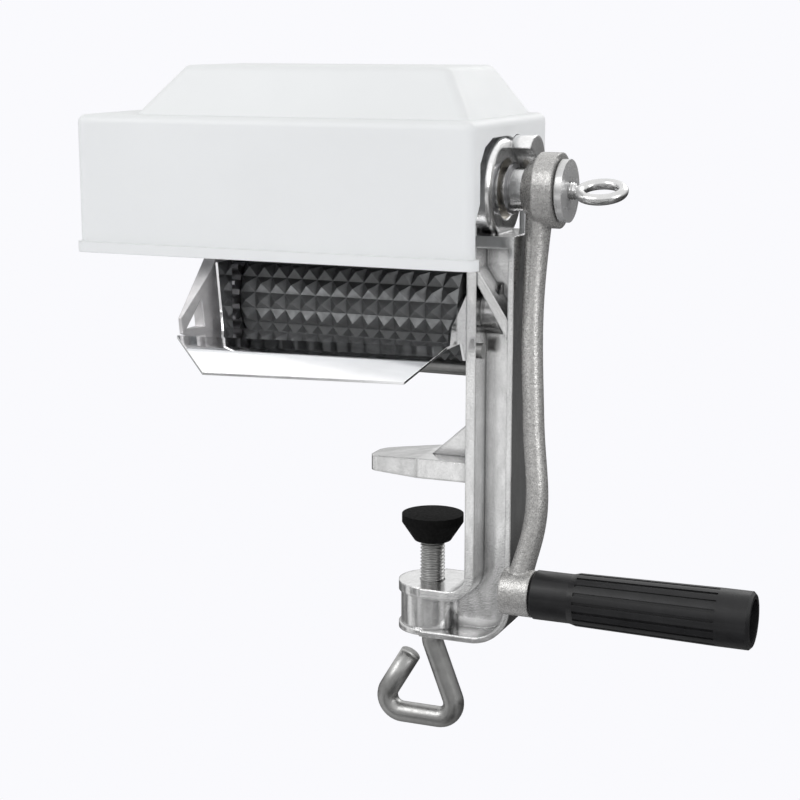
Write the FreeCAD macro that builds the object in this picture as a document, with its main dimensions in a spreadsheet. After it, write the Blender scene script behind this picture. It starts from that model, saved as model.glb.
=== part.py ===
import FreeCAD, Part
import Sketcher
import math
import os
import re

# Hand cranked meat tenderizer that clamps to a table edge, millimetres.
# X runs along the crank axis towards the crank, Y points away from the cook's side, Z is up.
# The origin lies on the upper jaw's underside, on the axis of the clamp screw.

document = FreeCAD.newDocument("MeatTenderizer")
sheet = document.addObject("Spreadsheet::Sheet", "Sizes")

SIZES = {
    # heights of the two roller axes above the table, and the gap between their studs
    "crank_height": 137.0,
    "roller_gap": 1.0,
    # studded rollers
    "stud_tip_radius": 27.0,
    "stud_height": 2.9,
    "stud_rows": 20,
    "stud_columns": 14,
    "stud_pitch": 7.95,
    "roller_end": 21.0,
    # running and seating clearances
    "running_clearance": 0.06,
    "side_clearance": 0.5,
    "soft_clearance": 0.3,
    # upright of the clamp frame, an I section
    "upright_face": 23.2,
    "upright_depth": 22.8,
    "upright_half_width": 18.0,
    "inner_flange": 4.8,
    "outer_flange": 2.8,
    "web_half_thickness": 3.5,
    # clamp throat and jaws
    "throat_height": 54.0,
    "upper_jaw_reach": 30.0,
    "upper_jaw_tip": 7.0,
    "upper_jaw_root": 9.5,
    "upper_jaw_half_width": 16.0,
    "upper_jaw_tip_half_width": 9.0,
    "jaw_rib_height": 20.0,
    "jaw_rib_half_thickness": 3.5,
    "lower_jaw_height": 24.0,
    "lower_jaw_radius": 16.5,
    "screw_boss_radius": 13.5,
    "throat_corner_radius": 9.0,
    "heel_radius": 20.0,
    # bearing boss at the top of the upright
    "boss_radius": 23.9,
    "boss_length": 12.9,
    "boss_edge_radius": 3.0,
    "rear_lug_radius": 12.0,
    "rear_lug_offset": 14.0,
    "rear_lug_rise": 12.0,
    "rear_lug_length": 22.5,
    "lower_boss_radius": 12.5,
    "lower_boss_length": 13.0,
    "outer_flange_top": 20.0,
    "pocket_rib_start": 35.0,
    "pocket_rib_end": 59.0,
    "pocket_rib_thickness": 5.0,
    # discharge side bracket on the left end plate
    "bracket_top_reach": 34.0,
    "bracket_top_height": 101.5,
    "bracket_nose_reach": 59.5,
    "bracket_nose_height": 77.0,
    "bracket_foot_height": 69.6,
    "bracket_nose_thickness": 1.0,
    "bracket_taper_start": 38.0,
    # left end plate
    "plate_thickness": 6.5,
    "plate_half_width": 24.0,
    "plate_foot_height": 57.0,
    "plate_head_half_width": 10.0,
    "plate_corner_radius": 4.0,
    "plate_bearing_radius": 16.0,
    "plate_bearing_length": 3.0,
    # shafts and bushings
    "crank_journal_radius": 10.0,
    "crank_journal_end": 45.8,
    "crank_square": 13.0,
    "upper_shaft_radius": 8.0,
    "lower_shaft_radius": 7.0,
    "crank_bush_wall": 4.0,
    "crank_bush_recess": 2.2,
    "small_bush_wall": 3.0,
    "ring_thickness": 1.4,
    "ring_height": 1.8,
    "ring_place": 38.6,
    "key_width": 4.0,
    "key_height": 5.0,
    "key_length": 42.0,
    # gears
    "gear_teeth": 22,
    "gear_width": 6.2,
    "gear_pressure_angle": 20.0,
    "gear_backlash": 0.25,
    # tie rods between the end plate and the upright
    "rod_radius": 4.5,
    "rod_thread": 3.6,
    "low_rod_back": 15.5,
    "low_rod_drop": 32.5,
    "high_rod_back": 33.5,
    "high_rod_rise": 13.0,
    "rod_nut_flats": 10.0,
    "rod_nut_height": 5.0,
    "rod_ear_radius": 8.0,
    # discharge chute and feed tray
    "sheet_thickness": 1.2,
    "pan_back": 31.0,
    "tongue_run": 19.5,
    "tongue_drop": 13.0,
    "tongue_left_taper": 19.5,
    "tongue_right_taper": 15.0,
    "pan_left_reach": 61.2,
    "pan_right_reach": 42.5,
    "left_side_gap": 0.7,
    "left_side_foot_reach": 40.0,
    "left_side_top_reach": 45.0,
    "right_side_nose_reach": 36.6,
    "right_side_foot_reach": 39.3,
    "right_side_top_reach": 16.9,
    "right_side_top_height": 89.9,
    "right_side_back": 10.0,
    "left_tab_back": 34.0,
    "right_tab_back": 13.5,
    "chute_tab_length": 9.0,
    "chute_tab_drop": 7.6,
    "tray_start": 23.5,
    "tray_end": 84.0,
    "tray_wall": 8.0,
    "tray_wall_start": 33.0,
    "tray_screw_inset": 28.0,
    "small_screw_radius": 2.0,
    "small_head_radius": 3.6,
    "small_head_height": 2.2,
    # hood
    "hood_left": -165.8,
    "hood_right": 36.0,
    "hood_front": -46.0,
    "hood_back": 59.0,
    "hood_rim_height": 104.0,
    "hood_top": 169.5,
    "hood_wall": 2.0,
    "hood_corner_radius": 4.0,
    "hood_edge_radius": 4.0,
    "hood_lip": 1.8,
    "hood_lip_height": 5.0,
    "hump_height": 23.0,
    "hump_left_foot": 27.4,
    "hump_right_foot": 5.0,
    "hump_side_foot": 8.0,
    "hump_left_slope": 20.6,
    "hump_right_slope": 15.0,
    "hump_side_slope": 14.0,
    "hump_edge_radius": 5.0,
    "feed_slot_height": 24.0,
    "hood_slot_front": 41.5,
    "hood_slot_waist": 36.0,
    # crank arm
    "crank_radius": 184.0,
    "crank_lean": 12.0,
    "hub_start": 46.5,
    "hub_length": 15.7,
    "hub_radius": 17.3,
    "hub_rear_radius": 11.5,
    "hub_rear_length": 6.5,
    "arm_width": 11.5,
    "arm_thickness": 10.0,
    "arm_start": 52.6,
    "arm_bow": 62.5,
    "handle_boss_start": 50.6,
    "handle_boss_length": 13.8,
    "handle_boss_radius": 10.7,
    # grip on its spindle
    "grip_length": 100.0,
    "grip_small_radius": 11.2,
    "grip_large_radius": 12.9,
    "grip_plain_start": 21.0,
    "grip_plain_end": 15.0,
    "grip_flutes": 18,
    "flute_depth": 0.8,
    "flute_width": 1.3,
    "grip_hollow_radius": 9.6,
    "grip_hollow_depth": 15.0,
    "spindle_radius": 4.5,
    "spindle_head_radius": 7.0,
    "spindle_head_height": 3.2,
    # cap washer and eye screw
    "washer_radius": 14.4,
    "washer_thickness": 3.4,
    "washer_gap": 0.8,
    "eye_thread_radius": 4.0,
    "eye_thread_length": 20.0,
    "eye_wire_radius": 2.5,
    "eye_half_length": 12.4,
    "eye_half_width": 8.6,
    "eye_tilt": 20.0,
    "eye_neck": 2.2,
    # clamp screw and pad
    "clamp_thread_radius": 6.0,
    "handle_rod_radius": 5.2,
    "handle_right_corner": 15.0,
    "handle_left_corner": 30.0,
    "handle_drop": 125.0,
    "handle_start_drop": 80.5,
    "handle_tip_left": 11.5,
    "handle_tip_drop": 94.0,
    "handle_bend_radius": 8.0,
    "handle_neck": 5.0,
    "pad_radius": 15.0,
    "pad_foot_radius": 9.0,
    "pad_height": 13.0,
    "pad_top": 21.0,
    "pad_rim_height": 4.0,
    "pad_socket_depth": 6.3,
}

for row, (alias, size) in enumerate(SIZES.items(), start=1):
    sheet.set("A%d" % row, alias)
    sheet.set("B%d" % row, str(size))
    sheet.setAlias("B%d" % row, alias)
document.recompute()

WORDS = re.compile(r"\b[a-z]+(?:_[a-z]+)+\b")


def linked(formula):
    return WORDS.sub(lambda word: "Sizes." + word.group(0), str(formula))


def size_of(formula):
    result = sheet.evalExpression(linked(formula).replace("Sizes.", ""))
    return float(getattr(result, "Value", result))


def bind(item, prop, formula):
    item.setExpression(prop, linked(formula))


# Lengths that several pieces share.
PAN_OVER = "(bracket_foot_height - 0.6)"
PAN_UNDER = "(bracket_foot_height - 0.6 - sheet_thickness)"
LEFT_SCREW_BACK = "(-left_tab_back)"
LEFT_SCREW_HEIGHT = "(%s - chute_tab_drop / 2)" % PAN_UNDER
RIGHT_SCREW_BACK = "(-right_tab_back)"
RIGHT_SCREW_HEIGHT = "(%s - chute_tab_drop / 2 - 1)" % PAN_UNDER
TIP = "stud_tip_radius"
ROOT = "(stud_tip_radius - stud_height)"
SPACING = "(2 * stud_tip_radius + roller_gap)"
LOWER_AXIS = "(crank_height - 2 * stud_tip_radius - roller_gap)"
ROLLER_START = "(roller_end - stud_columns * stud_pitch)"
OUTER_FACE = "(upright_face + upright_depth)"
BOSS_FACE = "(upright_face + boss_length)"
GEAR_START = "(roller_end - stud_columns * stud_pitch - side_clearance - gear_width)"
PLATE_INNER = "(roller_end - stud_columns * stud_pitch - 3 * side_clearance - gear_width)"
PLATE_OUTER = "(%s - plate_thickness)" % PLATE_INNER
LOWER_JAW_TOP = "(-throat_height)"
LOWER_JAW_FOOT = "(-throat_height - lower_jaw_height)"
LOW_ROD_HEIGHT = "(%s - low_rod_drop)" % LOWER_AXIS
HIGH_ROD_HEIGHT = "(%s + high_rod_rise)" % LOWER_AXIS
INNER_BACK = "(upright_face + inner_flange)"


# Helpers for bodies made of sketched pads and pockets.
NORMALS = {"XY_Plane": (0, 0, 1), "XZ_Plane": (0, -1, 0), "YZ_Plane": (1, 0, 0)}


def new_body(name):
    return document.addObject("PartDesign::Body", name)


def new_sketch(body, name, plane, offset="0"):
    sketch = body.newObject("Sketcher::SketchObject", name)
    for feature in body.Origin.OriginFeatures:
        if feature.Role == plane:
            sketch.AttachmentSupport = [(feature, "")]
    sketch.MapMode = "FlatFace"
    bind(sketch, "AttachmentOffset.Base.z", offset)
    return sketch


def pin_down(sketch, line, end, across, up):
    # one end of a line is held at its two distances from the sketch's origin
    for kind, formula in (("DistanceX", across), ("DistanceY", up)):
        value = size_of(formula)
        index = sketch.addConstraint(Sketcher.Constraint(kind, -1, 1, line, end, value))
        bind(sketch, "Constraints[%d]" % index, formula)


def draw_outline(sketch, corners):
    points = [FreeCAD.Vector(size_of(across), size_of(up), 0) for across, up in corners]
    count = len(points)
    for index in range(count):
        sketch.addGeometry(Part.LineSegment(points[index], points[(index + 1) % count]), False)
    for index in range(count):
        following = (index + 1) % count
        sketch.addConstraint(Sketcher.Constraint("Coincident", index, 2, following, 1))
    for index, (across, up) in enumerate(corners):
        pin_down(sketch, index, 1, across, up)


def draw_circle(sketch, across, up, radius):
    centre = FreeCAD.Vector(size_of(across), size_of(up), 0)
    circle = Part.Circle(centre, FreeCAD.Vector(0, 0, 1), size_of(radius))
    index = sketch.addGeometry(circle, False)
    pin_down(sketch, index, 3, across, up)
    held = sketch.addConstraint(Sketcher.Constraint("Radius", index, size_of(radius)))
    bind(sketch, "Constraints[%d]" % held, radius)


def pad(body, name, sketch, length, middle=False, backwards=False, pocket=False):
    feature = body.newObject("PartDesign::Pocket" if pocket else "PartDesign::Pad", name)
    feature.Profile = sketch
    bind(feature, "Length", length)
    if middle:
        feature.Midplane = True
    if backwards:
        feature.Reversed = True
    sketch.Visibility = False
    document.recompute()
    return feature


def pad_outline(body, name, plane, corners, length, offset="0", **how):
    sketch = new_sketch(body, name + "_sketch", plane, offset)
    draw_outline(sketch, corners)
    return pad(body, name, sketch, length, **how)


def pad_circle(body, name, plane, across, up, radius, length, offset="0", **how):
    sketch = new_sketch(body, name + "_sketch", plane, offset)
    draw_circle(sketch, across, up, radius)
    return pad(body, name, sketch, length, **how)


def round_edges(body, name, radius, chosen):
    base = body.Tip
    names = []
    for number, edge in enumerate(base.Shape.Edges, start=1):
        if chosen(edge):
            names.append("Edge%d" % number)
    if not names:
        raise ValueError("no edge found for " + name)
    feature = body.newObject("PartDesign::Fillet", name)
    feature.Base = (base, names)
    bind(feature, "Radius", radius)
    document.recompute()
    return feature


def near(value, other, reach=0.02):
    return abs(value - other) < reach


def along(edge, axis):
    # true for a straight edge parallel to the axis
    if not isinstance(edge.Curve, Part.Line):
        return False
    return abs(edge.Curve.Direction.dot(FreeCAD.Vector(*axis))) > 0.9999


def edge_through(axis, places):
    # picks the straight edges along an axis that pass through listed points of the other two axes
    kept = [index for index in range(3) if not axis[index]]

    def chosen(edge):
        if not along(edge, axis):
            return False
        middle = edge.CenterOfMass
        for place in places:
            if near(middle[kept[0]], place[0]) and near(middle[kept[1]], place[1]):
                return True
        return False

    return chosen


# Helpers for pieces made of primitives and booleans.
TURNS = {
    "X": FreeCAD.Rotation(FreeCAD.Vector(0, 1, 0), 90),
    "Y": FreeCAD.Rotation(FreeCAD.Vector(1, 0, 0), -90),
    "Z": FreeCAD.Rotation(),
}


def placed(item, across, back, up, axis="Z"):
    item.Placement = FreeCAD.Placement(FreeCAD.Vector(0, 0, 0), TURNS[axis])
    bind(item, "Placement.Base.x", across)
    bind(item, "Placement.Base.y", back)
    bind(item, "Placement.Base.z", up)
    return item


def cylinder(name, radius, length, across, back, up, axis="X"):
    item = document.addObject("Part::Cylinder", name)
    bind(item, "Radius", radius)
    bind(item, "Height", length)
    return placed(item, across, back, up, axis)


def cone(name, start_radius, end_radius, length, across, back, up, axis="X"):
    item = document.addObject("Part::Cone", name)
    bind(item, "Radius1", start_radius)
    bind(item, "Radius2", end_radius)
    bind(item, "Height", length)
    return placed(item, across, back, up, axis)


def block(name, length, depth, height, across, back, up):
    item = document.addObject("Part::Box", name)
    bind(item, "Length", length)
    bind(item, "Width", depth)
    bind(item, "Height", height)
    return placed(item, across, back, up)


def hexagon(name, flats, height, across, back, up):
    item = document.addObject("Part::Prism", name)
    item.Polygon = 6
    bind(item, "Circumradius", "(%s) / 2 / cos(30)" % flats)
    bind(item, "Height", height)
    return placed(item, across, back, up, "X")


def fused(name, items):
    item = document.addObject("Part::MultiFuse", name)
    item.Shapes = items
    item.Refine = True
    return item


def less(name, base, tools):
    item = document.addObject("Part::Cut", name)
    item.Base = base
    item.Tool = tools[0] if len(tools) == 1 else fused(name + "_tools", tools)
    item.Refine = True
    return item


def group(name, items):
    item = document.addObject("Part::Compound", name)
    item.Links = items
    return item


nodes = {}


def finished(node, item):
    item.Label = node
    nodes[node] = item
    return item


# Clamp frame: one casting with the upright, both jaws and the bearing boss.
frame = new_body("frame_body")
inner = "upright_face"
inner_back = "upright_face + inner_flange"
outer_front = "upright_face + upright_depth - outer_flange"
outer = "upright_face + upright_depth"
rim_top = "crank_height - outer_flange_top"

# The crank's bearing boss comes first, while its rim is a plain circle to round.
pad_circle(frame, "boss", "YZ_Plane", "0", "crank_height", "boss_radius", "boss_length",
           offset=inner)
boss_face = size_of(BOSS_FACE)
boss_edge = size_of("boss_radius")


def on_boss_rim(edge):
    if not isinstance(edge.Curve, Part.Circle) or not near(edge.Curve.Radius, boss_edge):
        return False
    return near(edge.CenterOfMass.x, boss_face, 0.05)


round_edges(frame, "boss_edge", "boss_edge_radius", on_boss_rim)

pad_outline(frame, "web", "XZ_Plane", [
    (inner, "crank_height"),
    (inner + " + boss_length - 2 * boss_edge_radius", "crank_height"),
    (inner + " + boss_length - 2 * boss_edge_radius", rim_top + " - 1"),
    (outer, rim_top + " - 1"),
    (outer, LOWER_JAW_FOOT),
    ("0", LOWER_JAW_FOOT),
    ("0", LOWER_JAW_TOP),
    (inner, LOWER_JAW_TOP),
], "2 * web_half_thickness", middle=True)
pad_outline(frame, "inner_rim", "XZ_Plane", [
    (inner, "crank_height - 4"),
    (inner_back, "crank_height - 4"),
    (inner_back, LOWER_JAW_TOP + " - inner_flange"),
    ("0", LOWER_JAW_TOP + " - inner_flange"),
    ("0", LOWER_JAW_TOP),
    (inner, LOWER_JAW_TOP),
], "2 * upright_half_width", middle=True)
pad_outline(frame, "outer_rim", "XZ_Plane", [
    (outer_front, rim_top + " - outer_flange - 3"),
    (inner_back + " - 1", rim_top + " - outer_flange - 3"),
    (inner_back + " - 1", rim_top),
    (outer, rim_top),
    (outer, LOWER_JAW_FOOT),
    ("0", LOWER_JAW_FOOT),
    ("0", LOWER_JAW_FOOT + " + outer_flange"),
    (outer_front, LOWER_JAW_FOOT + " + outer_flange"),
], "2 * upright_half_width", middle=True)

# The throat's corner and the heel are rounded inside and out, so the rims bend like one band.
jaw_top = size_of(LOWER_JAW_TOP)
jaw_foot = size_of(LOWER_JAW_FOOT)
face = size_of(inner)
back = size_of(outer)
flange = size_of("inner_flange")
skin = size_of("outer_flange")
round_edges(frame, "throat_corner", "throat_corner_radius",
            edge_through((0, 1, 0), [(face, jaw_top)]))
round_edges(frame, "throat_rim_corner", "throat_corner_radius + inner_flange",
            edge_through((0, 1, 0), [(face + flange, jaw_top - flange)]))
round_edges(frame, "heel", "heel_radius", edge_through((0, 1, 0), [(back, jaw_foot)]))
round_edges(frame, "heel_pocket", "heel_radius - outer_flange",
            edge_through((0, 1, 0), [(back - skin, jaw_foot + skin)]))

pad_circle(frame, "screw_boss", "XY_Plane", "0", "0", "screw_boss_radius",
           "lower_jaw_height", offset=LOWER_JAW_FOOT)
pad_circle(frame, "jaw_end_top", "XY_Plane", "0", "0", "lower_jaw_radius",
           "inner_flange", offset=LOWER_JAW_TOP + " - inner_flange")
pad_circle(frame, "jaw_end_foot", "XY_Plane", "0", "0", "lower_jaw_radius",
           "outer_flange", offset=LOWER_JAW_FOOT)
pad_circle(frame, "jaw_end_body", "XY_Plane", "0", "0", "lower_jaw_radius - 1.2",
           "lower_jaw_height", offset=LOWER_JAW_FOOT)

# Upper jaw: flat underside on the table, tapering to a blunt tip, with a rib above it.
pad_outline(frame, "upper_jaw", "XY_Plane", [
    (inner + " + 1", "upper_jaw_half_width"),
    ("-2", "upper_jaw_half_width"),
    ("-upper_jaw_reach", "upper_jaw_tip_half_width"),
    ("-upper_jaw_reach", "-upper_jaw_tip_half_width"),
    ("-2", "-upper_jaw_half_width"),
    (inner + " + 1", "-upper_jaw_half_width"),
], "upper_jaw_root")
pad_outline(frame, "jaw_slope", "XZ_Plane", [
    ("-2", "upper_jaw_root + 1"),
    ("-2", "upper_jaw_root"),
    ("-upper_jaw_reach - 1", "upper_jaw_tip"),
    ("-upper_jaw_reach - 1", "upper_jaw_root + 1"),
], "2 * upright_half_width + 2", middle=True, pocket=True)
half = size_of("upper_jaw_half_width")
tip_half = size_of("upper_jaw_tip_half_width")
reach = size_of("upper_jaw_reach")
round_edges(frame, "jaw_tip", "0.75 * upper_jaw_tip_half_width",
            edge_through((0, 0, 1), [(-reach, tip_half), (-reach, -tip_half)]))
round_edges(frame, "jaw_shoulder", "upper_jaw_reach / 3",
            edge_through((0, 0, 1), [(-2, half), (-2, -half)]))
pad_outline(frame, "jaw_rib", "XZ_Plane", [
    (inner + " + 1", "upper_jaw_root - 1"),
    (inner + " + 1", "upper_jaw_root + jaw_rib_height"),
    (inner, "upper_jaw_root + jaw_rib_height"),
    ("0", "upper_jaw_root - 1"),
], "2 * jaw_rib_half_thickness", middle=True)

# Rear lug beside the crank's boss, and the boss of the lower shaft.
pad_circle(frame, "rear_lug", "YZ_Plane", "rear_lug_offset", "crank_height + rear_lug_rise",
           "rear_lug_radius", "rear_lug_length", offset=inner)
pad_circle(frame, "lug_relief", "YZ_Plane", "0", "crank_height", "hub_radius + 1.5",
           "rear_lug_length - boss_length + 2", offset=BOSS_FACE, backwards=True, pocket=True)
pad_circle(frame, "lower_boss", "YZ_Plane", "0", LOWER_AXIS, "lower_boss_radius",
           "lower_boss_length", offset=inner)
# The stiffening rib runs across the pocket from the boss towards the lower bearing.
rib_start = "crank_height - pocket_rib_start"
rib_end = "crank_height - pocket_rib_end"
pad_outline(frame, "pocket_rib", "XZ_Plane", [
    (inner_back + " - 1", rib_start + " + 1"),
    (outer_front + " + 1", rib_end + " - 1"),
    (outer_front + " + 1", rib_end + " - 2.2 * pocket_rib_thickness"),
    (inner_back + " - 1", rib_start + " - 1.2 * pocket_rib_thickness"),
], "2 * upright_half_width - 2", middle=True)

# Ear behind the upright for the upper tie rod.
pad_outline(frame, "ear_arm", "YZ_Plane", [
    ("upright_half_width - 1", HIGH_ROD_HEIGHT + " - rod_ear_radius"),
    ("high_rod_back", HIGH_ROD_HEIGHT + " - rod_ear_radius"),
    ("high_rod_back", HIGH_ROD_HEIGHT + " + rod_ear_radius"),
    ("upright_half_width - 1", HIGH_ROD_HEIGHT + " + rod_ear_radius"),
], "inner_flange", offset=inner)
pad_circle(frame, "ear", "YZ_Plane", "high_rod_back", HIGH_ROD_HEIGHT, "rod_ear_radius",
           "inner_flange", offset=inner)

# Bores: crank bushing, lower bushing, clamp screw and both tie rods.
pad_circle(frame, "crank_bore", "YZ_Plane", "0", "crank_height",
           "crank_journal_radius + crank_bush_wall", "boss_length + 2",
           offset=inner + " - 1", backwards=True, pocket=True)
pad_circle(frame, "lower_bore", "YZ_Plane", "0", LOWER_AXIS,
           "lower_shaft_radius + small_bush_wall", "lower_boss_length - 2 + 1",
           offset=inner + " - 1", backwards=True, pocket=True)
pad_circle(frame, "screw_bore", "XY_Plane", "0", "0", "clamp_thread_radius + running_clearance",
           "lower_jaw_height + 2", offset=LOWER_JAW_FOOT + " - 1", backwards=True, pocket=True)
for title, rod_back, rod_height in (("low", "low_rod_back", LOW_ROD_HEIGHT),
                                    ("high", "high_rod_back", HIGH_ROD_HEIGHT)):
    pad_circle(frame, title + "_rod_bore", "YZ_Plane", rod_back, rod_height, "rod_thread",
               "inner_flange + 2", offset=inner + " - 1", backwards=True, pocket=True)

pad_circle(frame, "chute_screw_bore", "YZ_Plane", RIGHT_SCREW_BACK, RIGHT_SCREW_HEIGHT,
           "small_screw_radius", "inner_flange + 2",
           offset=inner + " - 1", backwards=True, pocket=True)

finished("clamp_frame", frame)


# Left end plate, cast, with its own bracket, bearings and the hood's rest.
plate = new_body("plate_body")
pad_outline(plate, "plate", "YZ_Plane", [
    ("-plate_head_half_width", "hood_top + hump_height - hood_wall - soft_clearance"),
    ("plate_head_half_width", "hood_top + hump_height - hood_wall - soft_clearance"),
    ("plate_half_width", "crank_height + 8"),
    ("plate_half_width", "%s + rod_ear_radius + 14" % HIGH_ROD_HEIGHT),
    ("high_rod_back + rod_ear_radius", HIGH_ROD_HEIGHT + " + rod_ear_radius"),
    ("high_rod_back + rod_ear_radius", HIGH_ROD_HEIGHT + " - rod_ear_radius"),
    ("plate_half_width", LOW_ROD_HEIGHT + " - rod_ear_radius + 4"),
    ("plate_half_width - 5", LOW_ROD_HEIGHT + " - rod_ear_radius"),
    ("-5", LOW_ROD_HEIGHT + " - rod_ear_radius"),
    ("-plate_half_width", "plate_foot_height"),
    ("-bracket_nose_reach + 1", "bracket_foot_height"),
    ("-bracket_nose_reach", "bracket_nose_height"),
    ("-bracket_top_reach", "bracket_top_height"),
    ("-plate_half_width", "bracket_top_height + 16"),
    ("-plate_half_width", "crank_height + 8"),
], "plate_thickness", offset=PLATE_OUTER)
pad_outline(plate, "bracket_taper", "XY_Plane", [
    (PLATE_INNER, "-bracket_taper_start"),
    (PLATE_INNER + " + 1", "-bracket_taper_start"),
    (PLATE_INNER + " + 1", "-bracket_nose_reach - 2.5"),
    (PLATE_OUTER + " + bracket_nose_thickness", "-bracket_nose_reach - 2.5"),
], "bracket_top_height - plate_foot_height + 1", offset="plate_foot_height",
            backwards=True, pocket=True)
pad_outline(plate, "plate_window", "YZ_Plane", [
    ("-bracket_nose_reach + 16", "bracket_foot_height + 1.4"),
    ("-bracket_nose_reach + 2.8", "bracket_foot_height + 1.4"),
    ("-bracket_nose_reach + 14", "bracket_foot_height + 15"),
], "plate_thickness + 2", offset=PLATE_OUTER + " - 1", backwards=True, pocket=True)
for title, height in (("upper", "crank_height"), ("lower", LOWER_AXIS)):
    pad_circle(plate, title + "_bearing", "YZ_Plane", "0", height, "plate_bearing_radius",
               "plate_bearing_length", offset=PLATE_OUTER + " - plate_bearing_length")
for title, height, shaft in (("upper", "crank_height", "upper_shaft_radius"),
                             ("lower", LOWER_AXIS, "lower_shaft_radius")):
    pad_circle(plate, title + "_bore", "YZ_Plane", "0", height, shaft + " + small_bush_wall",
               "plate_thickness + plate_bearing_length + 2",
               offset=PLATE_OUTER + " - plate_bearing_length - 1", backwards=True, pocket=True)
for title, rod_back, rod_height in (("low", "low_rod_back", LOW_ROD_HEIGHT),
                                    ("high", "high_rod_back", HIGH_ROD_HEIGHT)):
    pad_circle(plate, title + "_rod_bore", "YZ_Plane", rod_back, rod_height, "rod_thread",
               "plate_thickness + 2", offset=PLATE_OUTER + " - 1", backwards=True, pocket=True)
pad_circle(plate, "chute_screw_bore_left", "YZ_Plane", LEFT_SCREW_BACK, LEFT_SCREW_HEIGHT,
           "small_screw_radius", "plate_thickness + 2",
           offset=PLATE_OUTER + " - 1", backwards=True, pocket=True)
finished("left_end_plate", plate)


# Bushings pressed into the castings.
def bushing(node, shaft, wall, start, length, height):
    shell = cylinder(node + "_shell", shaft + " + " + wall, length, start, "0", height)
    hole = cylinder(node + "_hole", shaft + " + running_clearance", length + " + 2",
                    start + " - 1", "0", height)
    return finished(node, less(node + "_cut", shell, [hole]))


bushing("crank_bushing", "crank_journal_radius", "crank_bush_wall", inner,
        "boss_length - crank_bush_recess", "crank_height")
bushing("roller_bushing", "lower_shaft_radius", "small_bush_wall", inner,
        "lower_boss_length - 2", LOWER_AXIS)
left_bush_start = PLATE_OUTER + " - plate_bearing_length"
left_bush_length = "plate_thickness + plate_bearing_length"
bushing("left_upper_bushing", "upper_shaft_radius", "small_bush_wall", left_bush_start,
        left_bush_length, "crank_height")
bushing("left_lower_bushing", "lower_shaft_radius", "small_bush_wall", left_bush_start,
        left_bush_length, LOWER_AXIS)


# Tie rods with turned-down threaded ends, and their nuts.
rods = []
nuts = []
for title, rod_back, rod_height in (("low", "low_rod_back", LOW_ROD_HEIGHT),
                                    ("high", "high_rod_back", HIGH_ROD_HEIGHT)):
    bar = cylinder(title + "_bar", "rod_radius", "%s - %s" % (inner, PLATE_INNER),
                   PLATE_INNER, rod_back, rod_height)
    thread = cylinder(title + "_thread", "rod_thread - 0.05",
                      "%s + inner_flange - %s + 2 * rod_nut_height + 3" % (inner, PLATE_OUTER),
                      PLATE_OUTER + " - rod_nut_height - 1.5", rod_back, rod_height)
    rods.append(fused(title + "_rod", [bar, thread]))
    for side, start in (("left", PLATE_OUTER + " - rod_nut_height"), ("right", INNER_BACK)):
        nut = hexagon("%s_%s_nut" % (title, side), "rod_nut_flats", "rod_nut_height",
                      start, rod_back, rod_height)
        hole = cylinder("%s_%s_nut_hole" % (title, side), "rod_thread", "rod_nut_height + 2",
                        start + " - 1", rod_back, rod_height)
        nuts.append(less("%s_%s_nut_cut" % (title, side), nut, [hole]))
finished("tie_rods", group("tie_rod_pair", rods))
finished("tie_rod_nuts", group("tie_rod_nut_set", nuts))


# Discharge chute: a bent sheet with a flat pan, upright sides and a tapered tongue in front.
chute_pan = new_body("chute_pan_body")
pan_left = "(-pan_left_reach)"
pan_right = "(-pan_right_reach)"
pad_outline(chute_pan, "chute_pan", "XY_Plane", [
    (PLATE_OUTER, "-pan_back"),
    (inner, "-pan_back"),
    (inner, pan_right),
    (PLATE_OUTER, pan_left),
], "sheet_thickness", offset=PAN_UNDER)
pad_outline(chute_pan, "plate_notch", "XY_Plane", [
    (PLATE_OUTER + " - 1", "-bracket_nose_reach - 0.4"),
    (PLATE_INNER, "-bracket_nose_reach - 0.4"),
    (PLATE_INNER, "-pan_back + 1"),
    (PLATE_OUTER + " - 1", "-pan_back + 1"),
], "40", offset="bracket_foot_height + 5", pocket=True)
left_side = "(%s - left_side_gap - sheet_thickness)" % ROLLER_START
pad_outline(chute_pan, "left_side", "YZ_Plane", [
    ("-pan_back", PAN_UNDER),
    ("-left_side_foot_reach", PAN_UNDER),
    ("-left_side_top_reach", "bracket_top_height + 0.5"),
    ("-pan_back", "bracket_top_height + 0.5"),
], "sheet_thickness", offset=left_side)
right_side = "(%s - sheet_thickness)" % inner
pad_outline(chute_pan, "right_side", "YZ_Plane", [
    ("-right_side_foot_reach", PAN_UNDER),
    ("-right_side_nose_reach", "bracket_nose_height"),
    ("-right_side_top_reach", "right_side_top_height"),
    ("-right_side_back", "right_side_top_height"),
    ("-right_side_back", PAN_UNDER + " - chute_tab_length"),
    ("-right_side_back - chute_tab_length", PAN_UNDER + " - chute_tab_length"),
    ("-right_side_back - 1.5 * chute_tab_length", PAN_UNDER),
], "sheet_thickness", offset=right_side)
pad_outline(chute_pan, "left_tab", "YZ_Plane", [
    (LEFT_SCREW_BACK + " - chute_tab_length / 2", PAN_OVER),
    (LEFT_SCREW_BACK + " - chute_tab_length / 2", PAN_UNDER + " - chute_tab_drop"),
    (LEFT_SCREW_BACK + " + chute_tab_length / 2", PAN_UNDER + " - chute_tab_drop"),
    (LEFT_SCREW_BACK + " + chute_tab_length / 2", PAN_OVER),
], "sheet_thickness", offset=PLATE_INNER)


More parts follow.
